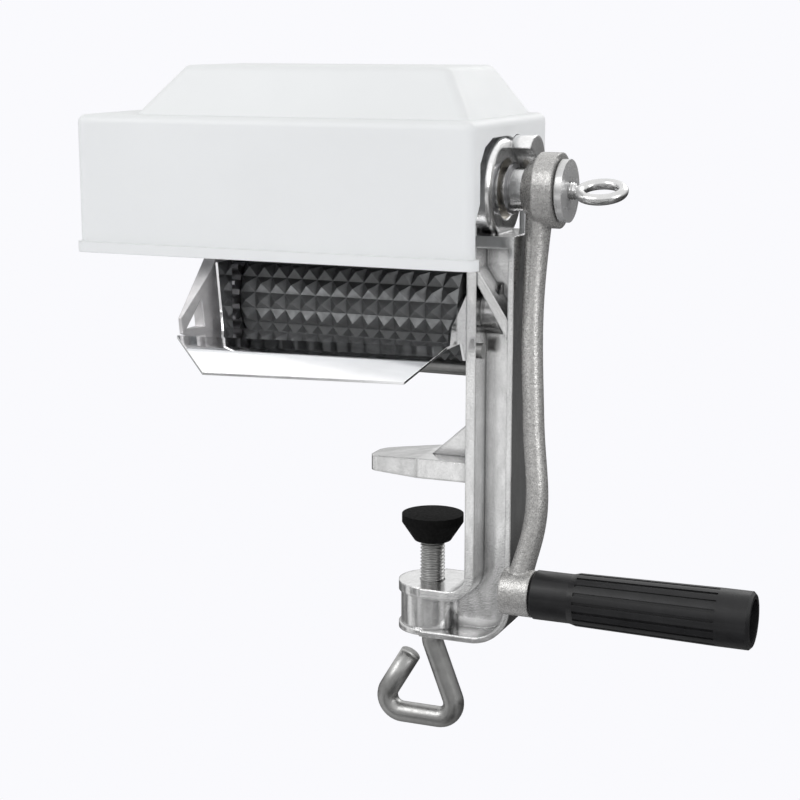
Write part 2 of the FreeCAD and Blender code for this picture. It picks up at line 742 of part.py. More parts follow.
def bent_tongue():
    # the sheet slopes down from the pan's skewed front edge, narrowing at both ends
    left_end = FreeCAD.Vector(size_of(PLATE_OUTER), size_of(pan_left), size_of(PAN_OVER))
    right_end = FreeCAD.Vector(size_of(inner), size_of(pan_right), size_of(PAN_OVER))
    along_fold = (right_end - left_end).normalize()
    outwards = FreeCAD.Vector(along_fold.y, -along_fold.x, 0) * size_of("tongue_run")
    fall = FreeCAD.Vector(0, 0, -size_of("tongue_drop"))
    down = FreeCAD.Vector(0, 0, -size_of("sheet_thickness"))
    low_left = left_end + along_fold * size_of("tongue_left_taper") + outwards + fall
    low_right = right_end - along_fold * size_of("tongue_right_taper") + outwards + fall
    sections = []
    for first, last in ((left_end, right_end), (low_left, low_right)):
        sections.append(Part.makePolygon([first, last, last + down, first + down, first]))
    return Part.makeLoft(sections, True, True)


tongue = document.addObject("Part::Feature", "chute_tongue")
tongue.Shape = bent_tongue()
tab_holes = []
for title, start, hole_back, hole_height in (
        ("left", PLATE_INNER, LEFT_SCREW_BACK, LEFT_SCREW_HEIGHT),
        ("right", right_side, RIGHT_SCREW_BACK, RIGHT_SCREW_HEIGHT)):
    tab_holes.append(cylinder(title + "_tab_hole", "small_screw_radius", "sheet_thickness + 2",
                              start + " - 1", hole_back, hole_height))
finished("discharge_chute", less("chute_cut", fused("chute_form", [chute_pan, tongue]),
                                 tab_holes))

# Two round-headed screws hold the chute to the end plate and to the upright.
screws = []
for title, head_start, shank_start, shank_length, screw_back, screw_height in (
        ("left", PLATE_INNER + " + sheet_thickness", PLATE_OUTER,
         "plate_thickness + sheet_thickness", LEFT_SCREW_BACK, LEFT_SCREW_HEIGHT),
        ("right", INNER_BACK, right_side, "inner_flange + sheet_thickness",
         RIGHT_SCREW_BACK, RIGHT_SCREW_HEIGHT)):
    head = cylinder(title + "_screw_head", "small_head_radius", "small_head_height",
                    head_start, screw_back, screw_height)
    shank = cylinder(title + "_screw_shank", "small_screw_radius", shank_length,
                     shank_start, screw_back, screw_height)
    screws.append(fused(title + "_chute_screw", [head, shank]))
finished("chute_screws", group("chute_screw_pair", screws))


# Feed tray: a sheet that rests on the upper tie rod behind the rollers, with low side walls.
tray_floor = "(%s + rod_radius)" % HIGH_ROD_HEIGHT
floor = block("tray_floor", "roller_end - %s" % ROLLER_START, "tray_end - tray_start",
              "sheet_thickness", ROLLER_START, "tray_start", tray_floor)
left_wall = block("tray_left_wall", "sheet_thickness", "tray_end - tray_wall_start", "tray_wall",
                  ROLLER_START, "tray_wall_start", tray_floor)
right_wall = block("tray_right_wall", "sheet_thickness", "tray_end - tray_wall_start", "tray_wall",
                   "roller_end - sheet_thickness", "tray_wall_start", tray_floor)
tray_holes = []
tray_screws = []
rod_holes = []
for title, across in (("left", ROLLER_START + " + tray_screw_inset"),
                      ("right", "roller_end - tray_screw_inset")):
    tray_holes.append(cylinder(title + "_tray_hole", "small_screw_radius", "sheet_thickness + 2",
                               across, "high_rod_back", tray_floor + " - 1", "Z"))
    rod_holes.append(cylinder(title + "_rod_hole", "small_screw_radius", "rod_radius + 2",
                              across, "high_rod_back", HIGH_ROD_HEIGHT, "Z"))
    head = cylinder(title + "_tray_head", "small_head_radius", "small_head_height",
                    across, "high_rod_back", tray_floor + " + sheet_thickness", "Z")
    shank = cylinder(title + "_tray_shank", "small_screw_radius", "rod_radius + sheet_thickness",
                     across, "high_rod_back", HIGH_ROD_HEIGHT, "Z")
    tray_screws.append(fused(title + "_tray_screw", [head, shank]))
tray_form = fused("tray_form", [floor, left_wall, right_wall])
finished("feed_tray", less("feed_tray_cut", tray_form, tray_holes))
finished("feed_tray_screws", group("feed_tray_screw_pair", tray_screws))
drilled_rod = less("high_rod_drilled", rods[1], rod_holes)
nodes["tie_rods"].Links = [rods[0], drilled_rod]


# Hood: a moulded cover, a box with rounded corners and a low hump, hollow and open below.
def hood_form(name, wall):
    # one closed form of the hood, drawn in by the wall for its inside
    form = new_body(name)
    left = "hood_left + %s" % wall
    right = "hood_right - %s" % wall
    front = "hood_front + %s" % wall
    rear = "hood_back - %s" % wall
    top = "hood_top - %s" % wall
    foot = "hood_rim_height" if wall == "0" else "hood_rim_height - 1"
    pad_outline(form, name + "_box", "XY_Plane", [
        (left, front), (right, front), (right, rear), (left, rear),
    ], top + " - (" + foot + ")", offset=foot)
    corners = [(size_of(left), size_of(front)), (size_of(right), size_of(front)),
               (size_of(right), size_of(rear)), (size_of(left), size_of(rear))]
    round_edges(form, name + "_corners", "hood_corner_radius - %s" % wall,
                edge_through((0, 0, 1), corners))
    top_height = size_of(top)
    round_edges(form, name + "_top_edge", "hood_edge_radius - %s" % wall,
                lambda edge: near(edge.BoundBox.ZMin, top_height)
                and near(edge.BoundBox.ZMax, top_height))

    sections = []
    for title, slope, height in (("foot", "0", top + " - 0.5"),
                                 ("crown", "1", top + " + hump_height")):
        section = new_sketch(form, name + "_hump_" + title, "XY_Plane", height)
        hump_left = "%s + hump_left_foot + %s * hump_left_slope" % (left, slope)
        hump_right = "%s - hump_right_foot - %s * hump_right_slope" % (right, slope)
        hump_front = "%s + hump_side_foot + %s * hump_side_slope" % (front, slope)
        hump_rear = "%s - hump_side_foot - %s * hump_side_slope" % (rear, slope)
        draw_outline(section, [(hump_left, hump_front), (hump_right, hump_front),
                               (hump_right, hump_rear), (hump_left, hump_rear)])
        sections.append(section)
    hump = form.newObject("PartDesign::AdditiveLoft", name + "_hump")
    hump.Profile = sections[0]
    hump.Sections = [sections[1]]
    hump.Ruled = True
    document.recompute()
    crown = size_of(top + " + hump_height")

    def on_hump(edge):
        box = edge.BoundBox
        return box.ZMax > top_height + 1 and near(box.ZMax, crown)

    round_edges(form, name + "_hump_edges", "hump_edge_radius - %s" % wall, on_hump)
    return form


outside = hood_form("hood_outside", "0")
inside = hood_form("hood_inside", "hood_wall")
lip = new_body("hood_lip_body")
pad_outline(lip, "hood_lip_ring", "XY_Plane", [
    ("hood_left - hood_lip", "hood_front - hood_lip"),
    ("hood_right + hood_lip", "hood_front - hood_lip"),
    ("hood_right + hood_lip", "hood_back + hood_lip"),
    ("hood_left - hood_lip", "hood_back + hood_lip"),
], "hood_lip_height", offset="hood_rim_height")
proud = size_of("hood_lip")
lip_corners = [(size_of("hood_left") - proud, size_of("hood_front") - proud),
               (size_of("hood_right") + proud, size_of("hood_front") - proud),
               (size_of("hood_right") + proud, size_of("hood_back") + proud),
               (size_of("hood_left") - proud, size_of("hood_back") + proud)]
round_edges(lip, "hood_lip_corners", "hood_corner_radius + hood_lip",
            edge_through((0, 0, 1), lip_corners))
# The right wall is cut away round the bearing boss and the upright, so the hood lifts straight off.
slot_half = "(boss_radius + soft_clearance)"
boss_slot = block("hood_boss_slot", "hood_wall + hood_lip + 14", "2 * " + slot_half,
                  "crank_height - hood_rim_height + 1", "hood_right - hood_wall - 6",
                  "-" + slot_half, "hood_rim_height - 1")
front_slot = new_body("hood_front_slot_body")
pad_outline(front_slot, "hood_front_slot", "YZ_Plane", [
    ("0", "hood_rim_height - 1"),
    ("-hood_slot_front", "hood_rim_height - 1"),
    ("-hood_slot_front", "crank_height - 11.5"),
    ("-hood_slot_waist", "crank_height - 4"),
    ("-hood_slot_waist", "crank_height + 13.5"),
    ("-hood_slot_waist + 6", "crank_height + 20.5"),
    ("-hood_slot_waist + 16", "crank_height + " + slot_half),
    ("0", "crank_height + " + slot_half),
], "hood_wall + hood_lip + 14", offset="hood_right - hood_wall - 6")
boss_arch = cylinder("hood_boss_arch", slot_half, "hood_wall + hood_lip + 14",
                     "hood_right - hood_wall - 6", "0", "crank_height")
lug_arch = cylinder("hood_lug_arch", "rear_lug_radius + soft_clearance",
                    "hood_wall + hood_lip + 14", "hood_right - hood_wall - 6",
                    "rear_lug_offset", "crank_height + rear_lug_rise")
lug_slot = block("hood_lug_slot", "hood_wall + hood_lip + 14",
                 "rear_lug_offset + rear_lug_radius + soft_clearance",
                 "crank_height + rear_lug_rise - hood_rim_height + 1",
                 "hood_right - hood_wall - 6", "0", "hood_rim_height - 1")
feed_slot = block("hood_feed_slot", "roller_end - %s + 4" % ROLLER_START,
                  "hood_wall + hood_lip + 14", "feed_slot_height + 1", ROLLER_START + " - 2",
                  "hood_back - hood_wall - 6", "hood_rim_height - 1")
shell = fused("hood_shell", [outside, lip])
finished("hood", less("hood_cut", shell, [inside, front_slot, boss_slot, boss_arch, lug_arch,
                                          lug_slot, feed_slot]))


# Studded roller: rows of four-sided pyramids, each on its own flat cell of the drum.
def studded_drum(start, centre_height, first_turn):
    rows = int(size_of("stud_rows"))
    columns = int(size_of("stud_columns"))
    pitch = size_of("stud_pitch")
    tip = size_of(TIP)
    root = size_of(ROOT)
    step = 2 * math.pi / rows

    def point(across, radius, turn):
        return FreeCAD.Vector(across, radius * math.cos(turn),
                              centre_height + radius * math.sin(turn))

    def facet(*corners):
        return Part.Face(Part.makePolygon(list(corners) + [corners[0]]))

    faces = []
    for row in range(rows):
        low = first_turn + row * step
        high = low + step
        for column in range(columns):
            left = start + column * pitch
            right = left + pitch
            apex = point(left + pitch / 2, tip, low + step / 2)
            cell = [point(left, root, low), point(right, root, low),
                    point(right, root, high), point(left, root, high)]
            for index in range(4):
                faces.append(facet(cell[index], cell[(index + 1) % 4], apex))
    for across in (start, start + columns * pitch):
        rim = [point(across, root, first_turn + row * step) for row in range(rows)]
        faces.append(facet(*rim))
    solid = Part.makeSolid(Part.makeShell(faces))
    if solid.Volume < 0:
        solid.reverse()
    return solid


def roller(node, axis_height, shaft, first_turn):
    drum = document.addObject("Part::Feature", node + "_drum")
    drum.Shape = studded_drum(size_of(ROLLER_START), size_of(axis_height), first_turn)
    bore = cylinder(node + "_bore", shaft, "stud_columns * stud_pitch + 2",
                    ROLLER_START + " - 1", "0", axis_height)
    keyway = block(node + "_keyway", "key_length - gear_width - side_clearance + 1", "key_width",
                   "%s + key_height / 2" % shaft, ROLLER_START + " - 1", "-key_width / 2",
                   axis_height)
    return finished(node, less(node + "_cut", drum, [bore, keyway]))


half_cell = math.pi / size_of("stud_rows")
roller("upper_roller", "crank_height", "upper_shaft_radius", -math.pi / 2)
roller("lower_roller", LOWER_AXIS, "lower_shaft_radius", math.pi / 2 + half_cell)


# Spur gears of equal size, in mesh, on the left ends of both shafts.
def gear_outline(centre_height, first_turn):
    teeth = int(size_of("gear_teeth"))
    pitch_radius = size_of(SPACING) / 2
    module = 2 * pitch_radius / teeth
    pressure = math.radians(size_of("gear_pressure_angle"))
    base = pitch_radius * math.cos(pressure)
    tip = pitch_radius + 0.95 * module
    root = pitch_radius - 1.25 * module
    half_tooth = math.pi / 2 / teeth - size_of("gear_backlash") / 4 / pitch_radius
    start_roll = math.tan(pressure) - pressure

    def half_angle(radius):
        roll = math.acos(min(1.0, base / radius))
        return half_tooth + start_roll - (math.tan(roll) - roll)

    radii = [base, (base + pitch_radius) / 2, pitch_radius, (pitch_radius + tip) / 2, tip]
    flank = [(root, half_angle(base) * 1.08)] + [(radius, half_angle(radius)) for radius in radii]
    places = []
    for tooth in range(teeth):
        middle = first_turn + tooth * 2 * math.pi / teeth
        for radius, angle in flank:
            places.append((radius, middle - angle))
        for radius, angle in reversed(flank):
            places.append((radius, middle + angle))
    start = size_of(GEAR_START)
    return [FreeCAD.Vector(start, radius * math.cos(turn), centre_height + radius * math.sin(turn))
            for radius, turn in places]


def gear(node, axis_height, shaft, first_turn):
    outline = gear_outline(size_of(axis_height), first_turn)
    face = Part.Face(Part.makePolygon(outline + [outline[0]]))
    blank = document.addObject("Part::Feature", node + "_blank")
    blank.Shape = face.extrude(FreeCAD.Vector(size_of("gear_width"), 0, 0))
    bore = cylinder(node + "_bore", shaft, "gear_width + 2", GEAR_START + " - 1", "0", axis_height)
    keyway = block(node + "_keyway", "gear_width + 2", "key_width", "%s + key_height / 2" % shaft,
                   GEAR_START + " - 1", "-key_width / 2", axis_height)
    return finished(node, less(node + "_cut", blank, [bore, keyway]))


gear("upper_gear", "crank_height", "upper_shaft_radius", -math.pi / 2)
gear("lower_gear", LOWER_AXIS, "lower_shaft_radius",
     math.pi / 2 + math.pi / size_of("gear_teeth"))


# Shafts, each with a keyway under its gear and roller, and their keys.
def keyed_shaft(node, pieces, cuts, axis_height, shaft):
    slot = block(node + "_key_slot", "key_length", "key_width", "key_height / 2 + 1", GEAR_START,
                 "-key_width / 2", "%s + %s - key_height / 2" % (axis_height, shaft))
    turned_form = fused(node + "_turned", pieces) if len(pieces) > 1 else pieces[0]
    return finished(node, less(node + "_cut", turned_form, [slot] + cuts))


def shaft_key(node, axis_height, shaft):
    return finished(node, block(node + "_bar", "key_length", "key_width", "key_height", GEAR_START,
                                "-key_width / 2", "%s + %s - key_height / 2" % (axis_height, shaft)))


SHAFT_END = PLATE_OUTER + " - plate_bearing_length - ring_thickness - 2.4"
RING_START = PLATE_OUTER + " - plate_bearing_length - ring_thickness - side_clearance / 2"
upper_bar = cylinder("crank_shaft_bar", "upper_shaft_radius", "roller_end - (%s)" % SHAFT_END,
                     SHAFT_END, "0", "crank_height")
journal = cylinder("crank_shaft_journal", "crank_journal_radius",
                   "crank_journal_end - roller_end - side_clearance",
                   "roller_end + side_clearance", "0", "crank_height")
neck = cylinder("crank_shaft_neck", "upper_shaft_radius", "side_clearance + 1",
                "roller_end - 0.5", "0", "crank_height")
square = block("crank_shaft_square", "hub_length + hub_start - crank_journal_end",
               "crank_square", "crank_square", "crank_journal_end", "-crank_square / 2",
               "crank_height - crank_square / 2")
ring_grooves = []


def ring_groove(name, start, shaft, axis_height):
    collar = cylinder(name + "_collar", shaft + " + 3", "ring_thickness", start, "0", axis_height)
    core = cylinder(name + "_core", shaft + " - ring_height / 2", "ring_thickness + 2",
                    start + " - 1", "0", axis_height)
    return less(name, collar, [core])


def retaining_ring(name, start, shaft, axis_height):
    collar = cylinder(name + "_collar", shaft + " + ring_height", "ring_thickness", start, "0",
                      axis_height)
    core = cylinder(name + "_core", shaft + " - ring_height / 2", "ring_thickness + 2",
                    start + " - 1", "0", axis_height)
    mouth = block(name + "_mouth", "ring_thickness + 2", "2 * ring_height",
                  "%s + 2 * ring_height" % shaft, start + " - 1", "-ring_height",
                  "%s - %s - 2 * ring_height" % (axis_height, shaft))
    return less(name, collar, [core, mouth])


eye_hole = cylinder("eye_screw_hole", "eye_thread_radius + running_clearance",
                    "eye_thread_length + 1", "hub_start + hub_length - eye_thread_length",
                    "0", "crank_height")
keyed_shaft("crank_shaft", [upper_bar, journal, neck, square], [
    eye_hole,
    ring_groove("crank_ring_groove", "ring_place", "crank_journal_radius", "crank_height"),
    ring_groove("upper_end_groove", RING_START, "upper_shaft_radius", "crank_height"),
], "crank_height", "upper_shaft_radius")
lower_bar = cylinder("lower_shaft_bar", "lower_shaft_radius",
                     "%s + lower_boss_length - 2.6 - (%s)" % (inner, SHAFT_END),
                     SHAFT_END, "0", LOWER_AXIS)
keyed_shaft("lower_shaft", [lower_bar], [
    ring_groove("lower_end_groove", RING_START, "lower_shaft_radius", LOWER_AXIS),
], LOWER_AXIS, "lower_shaft_radius")
shaft_key("upper_key", "crank_height", "upper_shaft_radius")
shaft_key("lower_key", LOWER_AXIS, "lower_shaft_radius")
finished("crank_shaft_rings", group("crank_shaft_ring_pair", [
    retaining_ring("crank_ring", "ring_place", "crank_journal_radius", "crank_height"),
    retaining_ring("upper_end_ring", RING_START, "upper_shaft_radius", "crank_height"),
]))
finished("lower_shaft_ring", retaining_ring("lower_end_ring", RING_START, "lower_shaft_radius",
                                            LOWER_AXIS))


# Crank arm: a cast lever from a round hub, bowed outwards, to the boss that holds the grip.
def swung(item):
    # turns a piece drawn straight down from the crank axis to the crank's place at rest
    lean = FreeCAD.Rotation(FreeCAD.Vector(1, 0, 0), -size_of("crank_lean"))
    height = size_of("crank_height")
    pivot = FreeCAD.Vector(0, 0, height)
    item.Placement = FreeCAD.Placement(pivot, lean) * FreeCAD.Placement(-pivot, FreeCAD.Rotation())
    bind(item, "Placement.Base.y", "-crank_height * sin(crank_lean)")
    bind(item, "Placement.Base.z", "crank_height * (1 - cos(crank_lean))")
    return item


def arm_section(drop, across, width, thickness):
    centre = FreeCAD.Vector(across, 0, size_of("crank_height") - drop)
    ellipse = Part.Ellipse(centre + FreeCAD.Vector(0, width / 2, 0),
                           centre + FreeCAD.Vector(thickness / 2, 0, 0), centre)
    if width < thickness:
        ellipse = Part.Ellipse(centre + FreeCAD.Vector(thickness / 2, 0, 0),
                               centre + FreeCAD.Vector(0, width / 2, 0), centre)
    return Part.Wire([ellipse.toShape()])


def bowed_arm():
    length = size_of("crank_radius")
    width = size_of("arm_width")
    thickness = size_of("arm_thickness")
    start = size_of("arm_start")
    bow = size_of("arm_bow")
    stations = ((0.04, 0.0, 1.9), (0.11, 0.0, 1.25), (0.22, 0.03, 1.0), (0.38, 0.16, 0.97),
                (0.54, 0.46, 0.97), (0.70, 0.86, 1.0), (0.83, 0.97, 1.03), (0.93, 0.6, 1.1),
                (1.0, 0.48, 1.2))
    wires = [arm_section(length * share, start + (bow - start) * bend, width * swell,
                         thickness * min(swell, 1.15))
             for share, bend, swell in stations]
    return Part.makeLoft(wires, True, False)


arm = document.addObject("Part::Feature", "crank_arm_bow")
arm.Shape = bowed_arm()
hub_rear = cone("crank_hub_rear", "hub_rear_radius", "hub_radius", "hub_rear_length", "hub_start",
                "0", "crank_height")
hub = cylinder("crank_hub", "hub_radius", "hub_length - hub_rear_length",
               "hub_start + hub_rear_length", "0", "crank_height")
grip_height = "(crank_height - crank_radius)"
handle_boss = cylinder("crank_handle_boss", "handle_boss_radius", "handle_boss_length",
                       "handle_boss_start", "0", grip_height)
hub_square = block("crank_hub_square", "hub_length + 2", "crank_square", "crank_square",
                   "hub_start - 1", "-crank_square / 2", "crank_height - crank_square / 2")
spindle_bore = cylinder("crank_spindle_bore", "spindle_radius", "handle_boss_length + 2",
                        "handle_boss_start - 1", "0", grip_height)
arm_form = swung(fused("crank_arm_form", [arm, hub_rear, hub, handle_boss]))
arm_bore = swung(group("crank_spindle_bore_swung", [spindle_bore]))
finished("crank_arm", less("crank_arm_cut", arm_form, [hub_square, arm_bore]))

# Spindle for the grip, riveted in the arm's boss, with a washer that keeps the grip on.
GRIP_START = "(handle_boss_start + handle_boss_length + side_clearance)"
GRIP_END = "(%s + grip_length)" % GRIP_START
STOP = "(%s - grip_hollow_depth)" % GRIP_END
spindle = cylinder("spindle_bar", "spindle_radius",
                   "%s + side_clearance + spindle_head_height - handle_boss_start" % STOP,
                   "handle_boss_start", "0", grip_height)
finished("grip_spindle", swung(group("grip_spindle_form", [spindle])))
washer = cylinder("grip_washer_disc", "spindle_head_radius", "spindle_head_height / 2",
                  STOP + " + side_clearance", "0", grip_height)
washer_hole = cylinder("grip_washer_hole", "spindle_radius", "spindle_head_height",
                       STOP, "0", grip_height)
finished("grip_washer", swung(less("grip_washer_form", washer, [washer_hole])))

# The grip is drawn round its own axis, which the placement lowers to the crank's boss.
grip = new_body("grip_body")
grip_profile = new_sketch(grip, "grip_profile", "XZ_Plane")
draw_outline(grip_profile, [
    (GRIP_START, "spindle_radius + running_clearance"),
    (GRIP_START, "grip_small_radius - 1"),
    (GRIP_START + " + 1", "grip_small_radius"),
    (GRIP_START + " + grip_plain_start - 3", "grip_small_radius"),
    (GRIP_START + " + grip_plain_start", "grip_small_radius + flute_depth"),
    (GRIP_END + " - grip_plain_end", "grip_large_radius"),
    (GRIP_END + " - 1.2", "grip_large_radius"),
    (GRIP_END, "grip_large_radius - 1.2"),
    (GRIP_END, "grip_hollow_radius"),
    (STOP, "grip_hollow_radius"),
    (STOP, "spindle_radius + running_clearance"),
])
turned = grip.newObject("PartDesign::Revolution", "grip_turned")
turned.Profile = grip_profile
turned.ReferenceAxis = (grip_profile, ["H_Axis"])
document.recompute()
flute = new_sketch(grip, "grip_flute_sketch", "XZ_Plane", "-flute_width / 2")
draw_outline(flute, [
    (GRIP_START + " + grip_plain_start", "grip_small_radius"),
    (GRIP_END + " - grip_plain_end", "grip_large_radius - flute_depth"),
    (GRIP_END + " - grip_plain_end", "grip_large_radius + 2"),
    (GRIP_START + " + grip_plain_start", "grip_large_radius + 2"),
])
flute_cut = pad(grip, "grip_flute", flute, "flute_width", pocket=True)
flutes = grip.newObject("PartDesign::PolarPattern", "grip_flute_ring")
flutes.Originals = [flute_cut]
flutes.Axis = (grip_profile, ["H_Axis"])
flutes.Angle = 360
bind(flutes, "Occurrences", "grip_flutes")
grip.Tip = flutes
lean = FreeCAD.Rotation(FreeCAD.Vector(1, 0, 0), -size_of("crank_lean"))
grip.Placement = FreeCAD.Placement(FreeCAD.Vector(0, 0, 0), lean)
bind(grip, "Placement.Base.y", "-crank_radius * sin(crank_lean)")
bind(grip, "Placement.Base.z", "crank_height - crank_radius * cos(crank_lean)")
finished("crank_grip", grip)

# Cap washer over the shaft's end, and the eye screw that holds the crank on.
WASHER_START = "(hub_start + hub_length + washer_gap)"
cap = cylinder("hub_washer_disc", "washer_radius", "washer_thickness", WASHER_START, "0",
               "crank_height")
cap_hole = cylinder("hub_washer_hole", "eye_thread_radius + 2 * running_clearance",
                    "washer_thickness + 2", WASHER_START + " - 1", "0", "crank_height")
cap_spigot = cylinder("hub_washer_spigot", "washer_radius - 4", "washer_gap", "hub_start + hub_length",
                      "0", "crank_height")
finished("hub_washer", less("hub_washer_cut", fused("hub_washer_form", [cap, cap_spigot]),
                            [cap_hole]))

EYE_START = "(%s + washer_thickness)" % WASHER_START
thread = cylinder("eye_thread", "eye_thread_radius",
                  "eye_thread_length + washer_gap + washer_thickness + eye_neck + 1",
                  "hub_start + hub_length - eye_thread_length", "0", "crank_height")
eye_ring = document.addObject("Part::Feature", "eye_ring")


def oval_ring():
    # the eye's wire follows an oval in the eye's tilted plane, swept in two halves
    centre = FreeCAD.Vector(size_of(EYE_START + " + eye_neck + eye_half_length"), 0, size_of("crank_height"))
    tilt = math.radians(size_of("eye_tilt"))
    long_way = FreeCAD.Vector(size_of("eye_half_length - eye_wire_radius"), 0, 0)
    short_way = FreeCAD.Vector(0, math.cos(tilt), math.sin(tilt)) * size_of("eye_half_width")
    oval = Part.Ellipse(centre + long_way, centre + short_way, centre)
    halves = []
    for first in (0, math.pi):
        edge = oval.toShape(first, first + math.pi)
        start = edge.FirstParameter
        disc = Part.makeCircle(size_of("eye_wire_radius"), edge.valueAt(start), edge.tangentAt(start))
        halves.append(Part.Wire([edge]).makePipeShell([Part.Wire([disc])], True, False))
    return halves[0].fuse(halves[1])


eye_ring.Shape = oval_ring()
finished("eye_screw", fused("eye_screw_form", [thread, eye_ring]))


# Clamp screw with its handle bent from one rod into a triangle, hung below the lower jaw.
def bent_rod(points, bend):
    # straight runs joined by arcs of one radius at each inner point
    places = [FreeCAD.Vector(*point) for point in points]
    edges = []
    start = places[0]
    for index in range(1, len(places) - 1):
        corner = places[index]
        arriving = (places[index - 1] - corner).normalize()
        leaving = (places[index + 1] - corner).normalize()
        half_turn = arriving.getAngle(leaving) / 2
        setback = bend / math.tan(half_turn)
        first = corner + arriving * setback
        last = corner + leaving * setback
        middle_way = (arriving + leaving).normalize()
        middle = corner + middle_way * (bend / math.sin(half_turn) - bend)
        edges.append(Part.LineSegment(start, first).toShape())
        edges.append(Part.Arc(first, middle, last).toShape())
        start = last
    edges.append(Part.LineSegment(start, places[-1]).toShape())
    return Part.Wire(edges)


def swept_rod(points, bend, radius):
    path = bent_rod(points, bend)
    first = path.Edges[0]
    disc = Part.Wire([Part.makeCircle(radius, first.Vertexes[0].Point,
                                      first.tangentAt(first.FirstParameter))])
    return path.makePipeShell([disc], True, False)


handle = document.addObject("Part::Feature", "clamp_handle")
handle.Shape = swept_rod([
    (0, 0, -size_of("handle_start_drop") + 1),
    (0, 0, -size_of("handle_start_drop") - size_of("handle_neck")),
    (size_of("handle_right_corner"), 0, -size_of("handle_drop")),
    (-size_of("handle_left_corner"), 0, -size_of("handle_drop")),
    (-size_of("handle_tip_left"), 0, -size_of("handle_tip_drop")),
], size_of("handle_bend_radius"), size_of("handle_rod_radius"))
screw_bar = cylinder("clamp_screw_bar", "clamp_thread_radius",
                     "handle_start_drop - pad_top - pad_socket_depth", "0", "0",
                     "-handle_start_drop", "Z")
finished("clamp_screw", fused("clamp_screw_form", [screw_bar, handle]))

# Rubber pad on the screw's end, a round cap with a socket in its underside.
pad_cap = cylinder("pad_cap", "pad_radius", "pad_rim_height", "0", "0",
                   "-pad_top - pad_rim_height", "Z")
pad_cone = cone("pad_cone", "pad_foot_radius", "pad_radius", "pad_height - pad_rim_height",
                "0", "0", "-pad_top - pad_height", "Z")
pad_socket = cylinder("pad_socket", "clamp_thread_radius + running_clearance",
                      "pad_height - pad_socket_depth + 1", "0", "0",
                      "-pad_top - pad_height - 1", "Z")
finished("clamp_pad", less("clamp_pad_cut", fused("clamp_pad_form", [pad_cap, pad_cone]),
                           [pad_socket]))


# Every feature must be sound before the pieces are written out.
document.recompute()
faults = [item.Name for item in document.Objects
          if "Invalid" in item.State or "Error" in item.State]
if faults:
    raise RuntimeError("these did not build: " + ", ".join(faults))
for node, item in nodes.items():
    if item.Shape.isNull() or not item.Shape.isValid() or not item.Shape.Solids:
        raise RuntimeError(node + " has no sound solid")

os.makedirs("parts", exist_ok=True)
for node, item in nodes.items():
    item.Shape.exportStep("parts/" + node + ".step")
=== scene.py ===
import math

import bmesh
import bpy
from mathutils import Matrix, Vector


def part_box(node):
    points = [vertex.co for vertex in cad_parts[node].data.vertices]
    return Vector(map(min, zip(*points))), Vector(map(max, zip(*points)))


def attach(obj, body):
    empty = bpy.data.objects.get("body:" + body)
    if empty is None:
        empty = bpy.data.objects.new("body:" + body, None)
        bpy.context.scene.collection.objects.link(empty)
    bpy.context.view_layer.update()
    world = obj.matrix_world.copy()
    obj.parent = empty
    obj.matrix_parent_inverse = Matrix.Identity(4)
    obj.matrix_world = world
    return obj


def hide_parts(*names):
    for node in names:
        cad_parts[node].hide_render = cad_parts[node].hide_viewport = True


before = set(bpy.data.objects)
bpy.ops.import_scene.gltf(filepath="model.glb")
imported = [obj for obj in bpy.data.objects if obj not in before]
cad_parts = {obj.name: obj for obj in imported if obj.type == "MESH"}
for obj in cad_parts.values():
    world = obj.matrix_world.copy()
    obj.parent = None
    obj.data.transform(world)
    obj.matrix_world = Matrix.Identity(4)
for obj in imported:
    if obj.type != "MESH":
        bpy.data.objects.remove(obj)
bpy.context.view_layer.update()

bl_info = {
    "name": "Crank meat tenderizer looks",
    "version": (1, 0, 0),
    "blender": (4, 5, 0),
    "location": "View3D > Sidebar > Tenderizer",
    "description": "Finishes, threads and studio stage for a hand cranked meat tenderizer",
    "category": "Object",
}

MM = 0.001

# Camera: the photo's width and the origin's place from its middle, in pixels.
PHOTO_WIDTH = 800
ORIGIN_RIGHT = 33
ORIGIN_UP = -77
SENSOR_WIDTH = 36.0
CAMERA_DROP = 3.0 * MM
NEAR_CLIP = 0.02
FAR_CLIP = 20.0

# Lamps: name, place, width and the stage size that holds the power.
LAMPS = (
    ("key_lamp", (-0.9, -1.1, 1.1), 0.9, "key"),
    ("crank_side_lamp", (1.2, -0.5, 0.6), 0.6, "rim"),
    ("back_lamp", (0.3, 1.2, 0.9), 0.8, "rim"),
)
LAMP_TARGET = (-0.03, 0.0, 0.06)

# What mirrors see, as stops of (place, brightness): the room by a ray's rise, and the floor by
# its distance behind the part, crossed by dark bands.
ROOM_RISES = (-0.2, 0.8)
ROOM_SHADES = ((0.20, 0.22), (0.40, 0.60), (0.62, 1.0))
ROOM_STRENGTH = 1.15
BEHIND = (0.38, 0.92, 0.0)
FLOOR_DISTANCES = (-1.0, 1.0)
FLOOR_SHADES = ((0.0, 0.95), (0.42, 0.75), (0.56, 0.20), (1.0, 0.10))
BANDS_PER_METRE = 2.4
BAND_SHADES = ((0.42, 0.22), (0.50, 1.0))
FLOOR_REACH = 6

# Noise: the span its values mostly fill, and its stretch along X, Y and Z on each surface.
NOISE_SPAN = (0.3, 0.7)
EVEN = (1.0, 1.0, 1.0)
CAST_STREAKS = (1.0, 1.0, 2.5)
TURNING_BANDS = (0.15, 1.0, 1.0)
TURNING_LINES = (0.4, 2.0, 2.0)
CUTTER_LINES = (4.0, 1.0, 1.0)
ROLLING_LINES = (3.0, 0.4, 1.0)

# Soft edges, painted shade in hollows (by how open they are) and faces that look upwards (by their
# normal's Z).
BEVEL_SAMPLES = 4
HOLLOW_SAMPLES = 6
HOLLOW_SPAN = (0.35, 0.85)
UPWARD_SPAN = (0.2, 0.3)

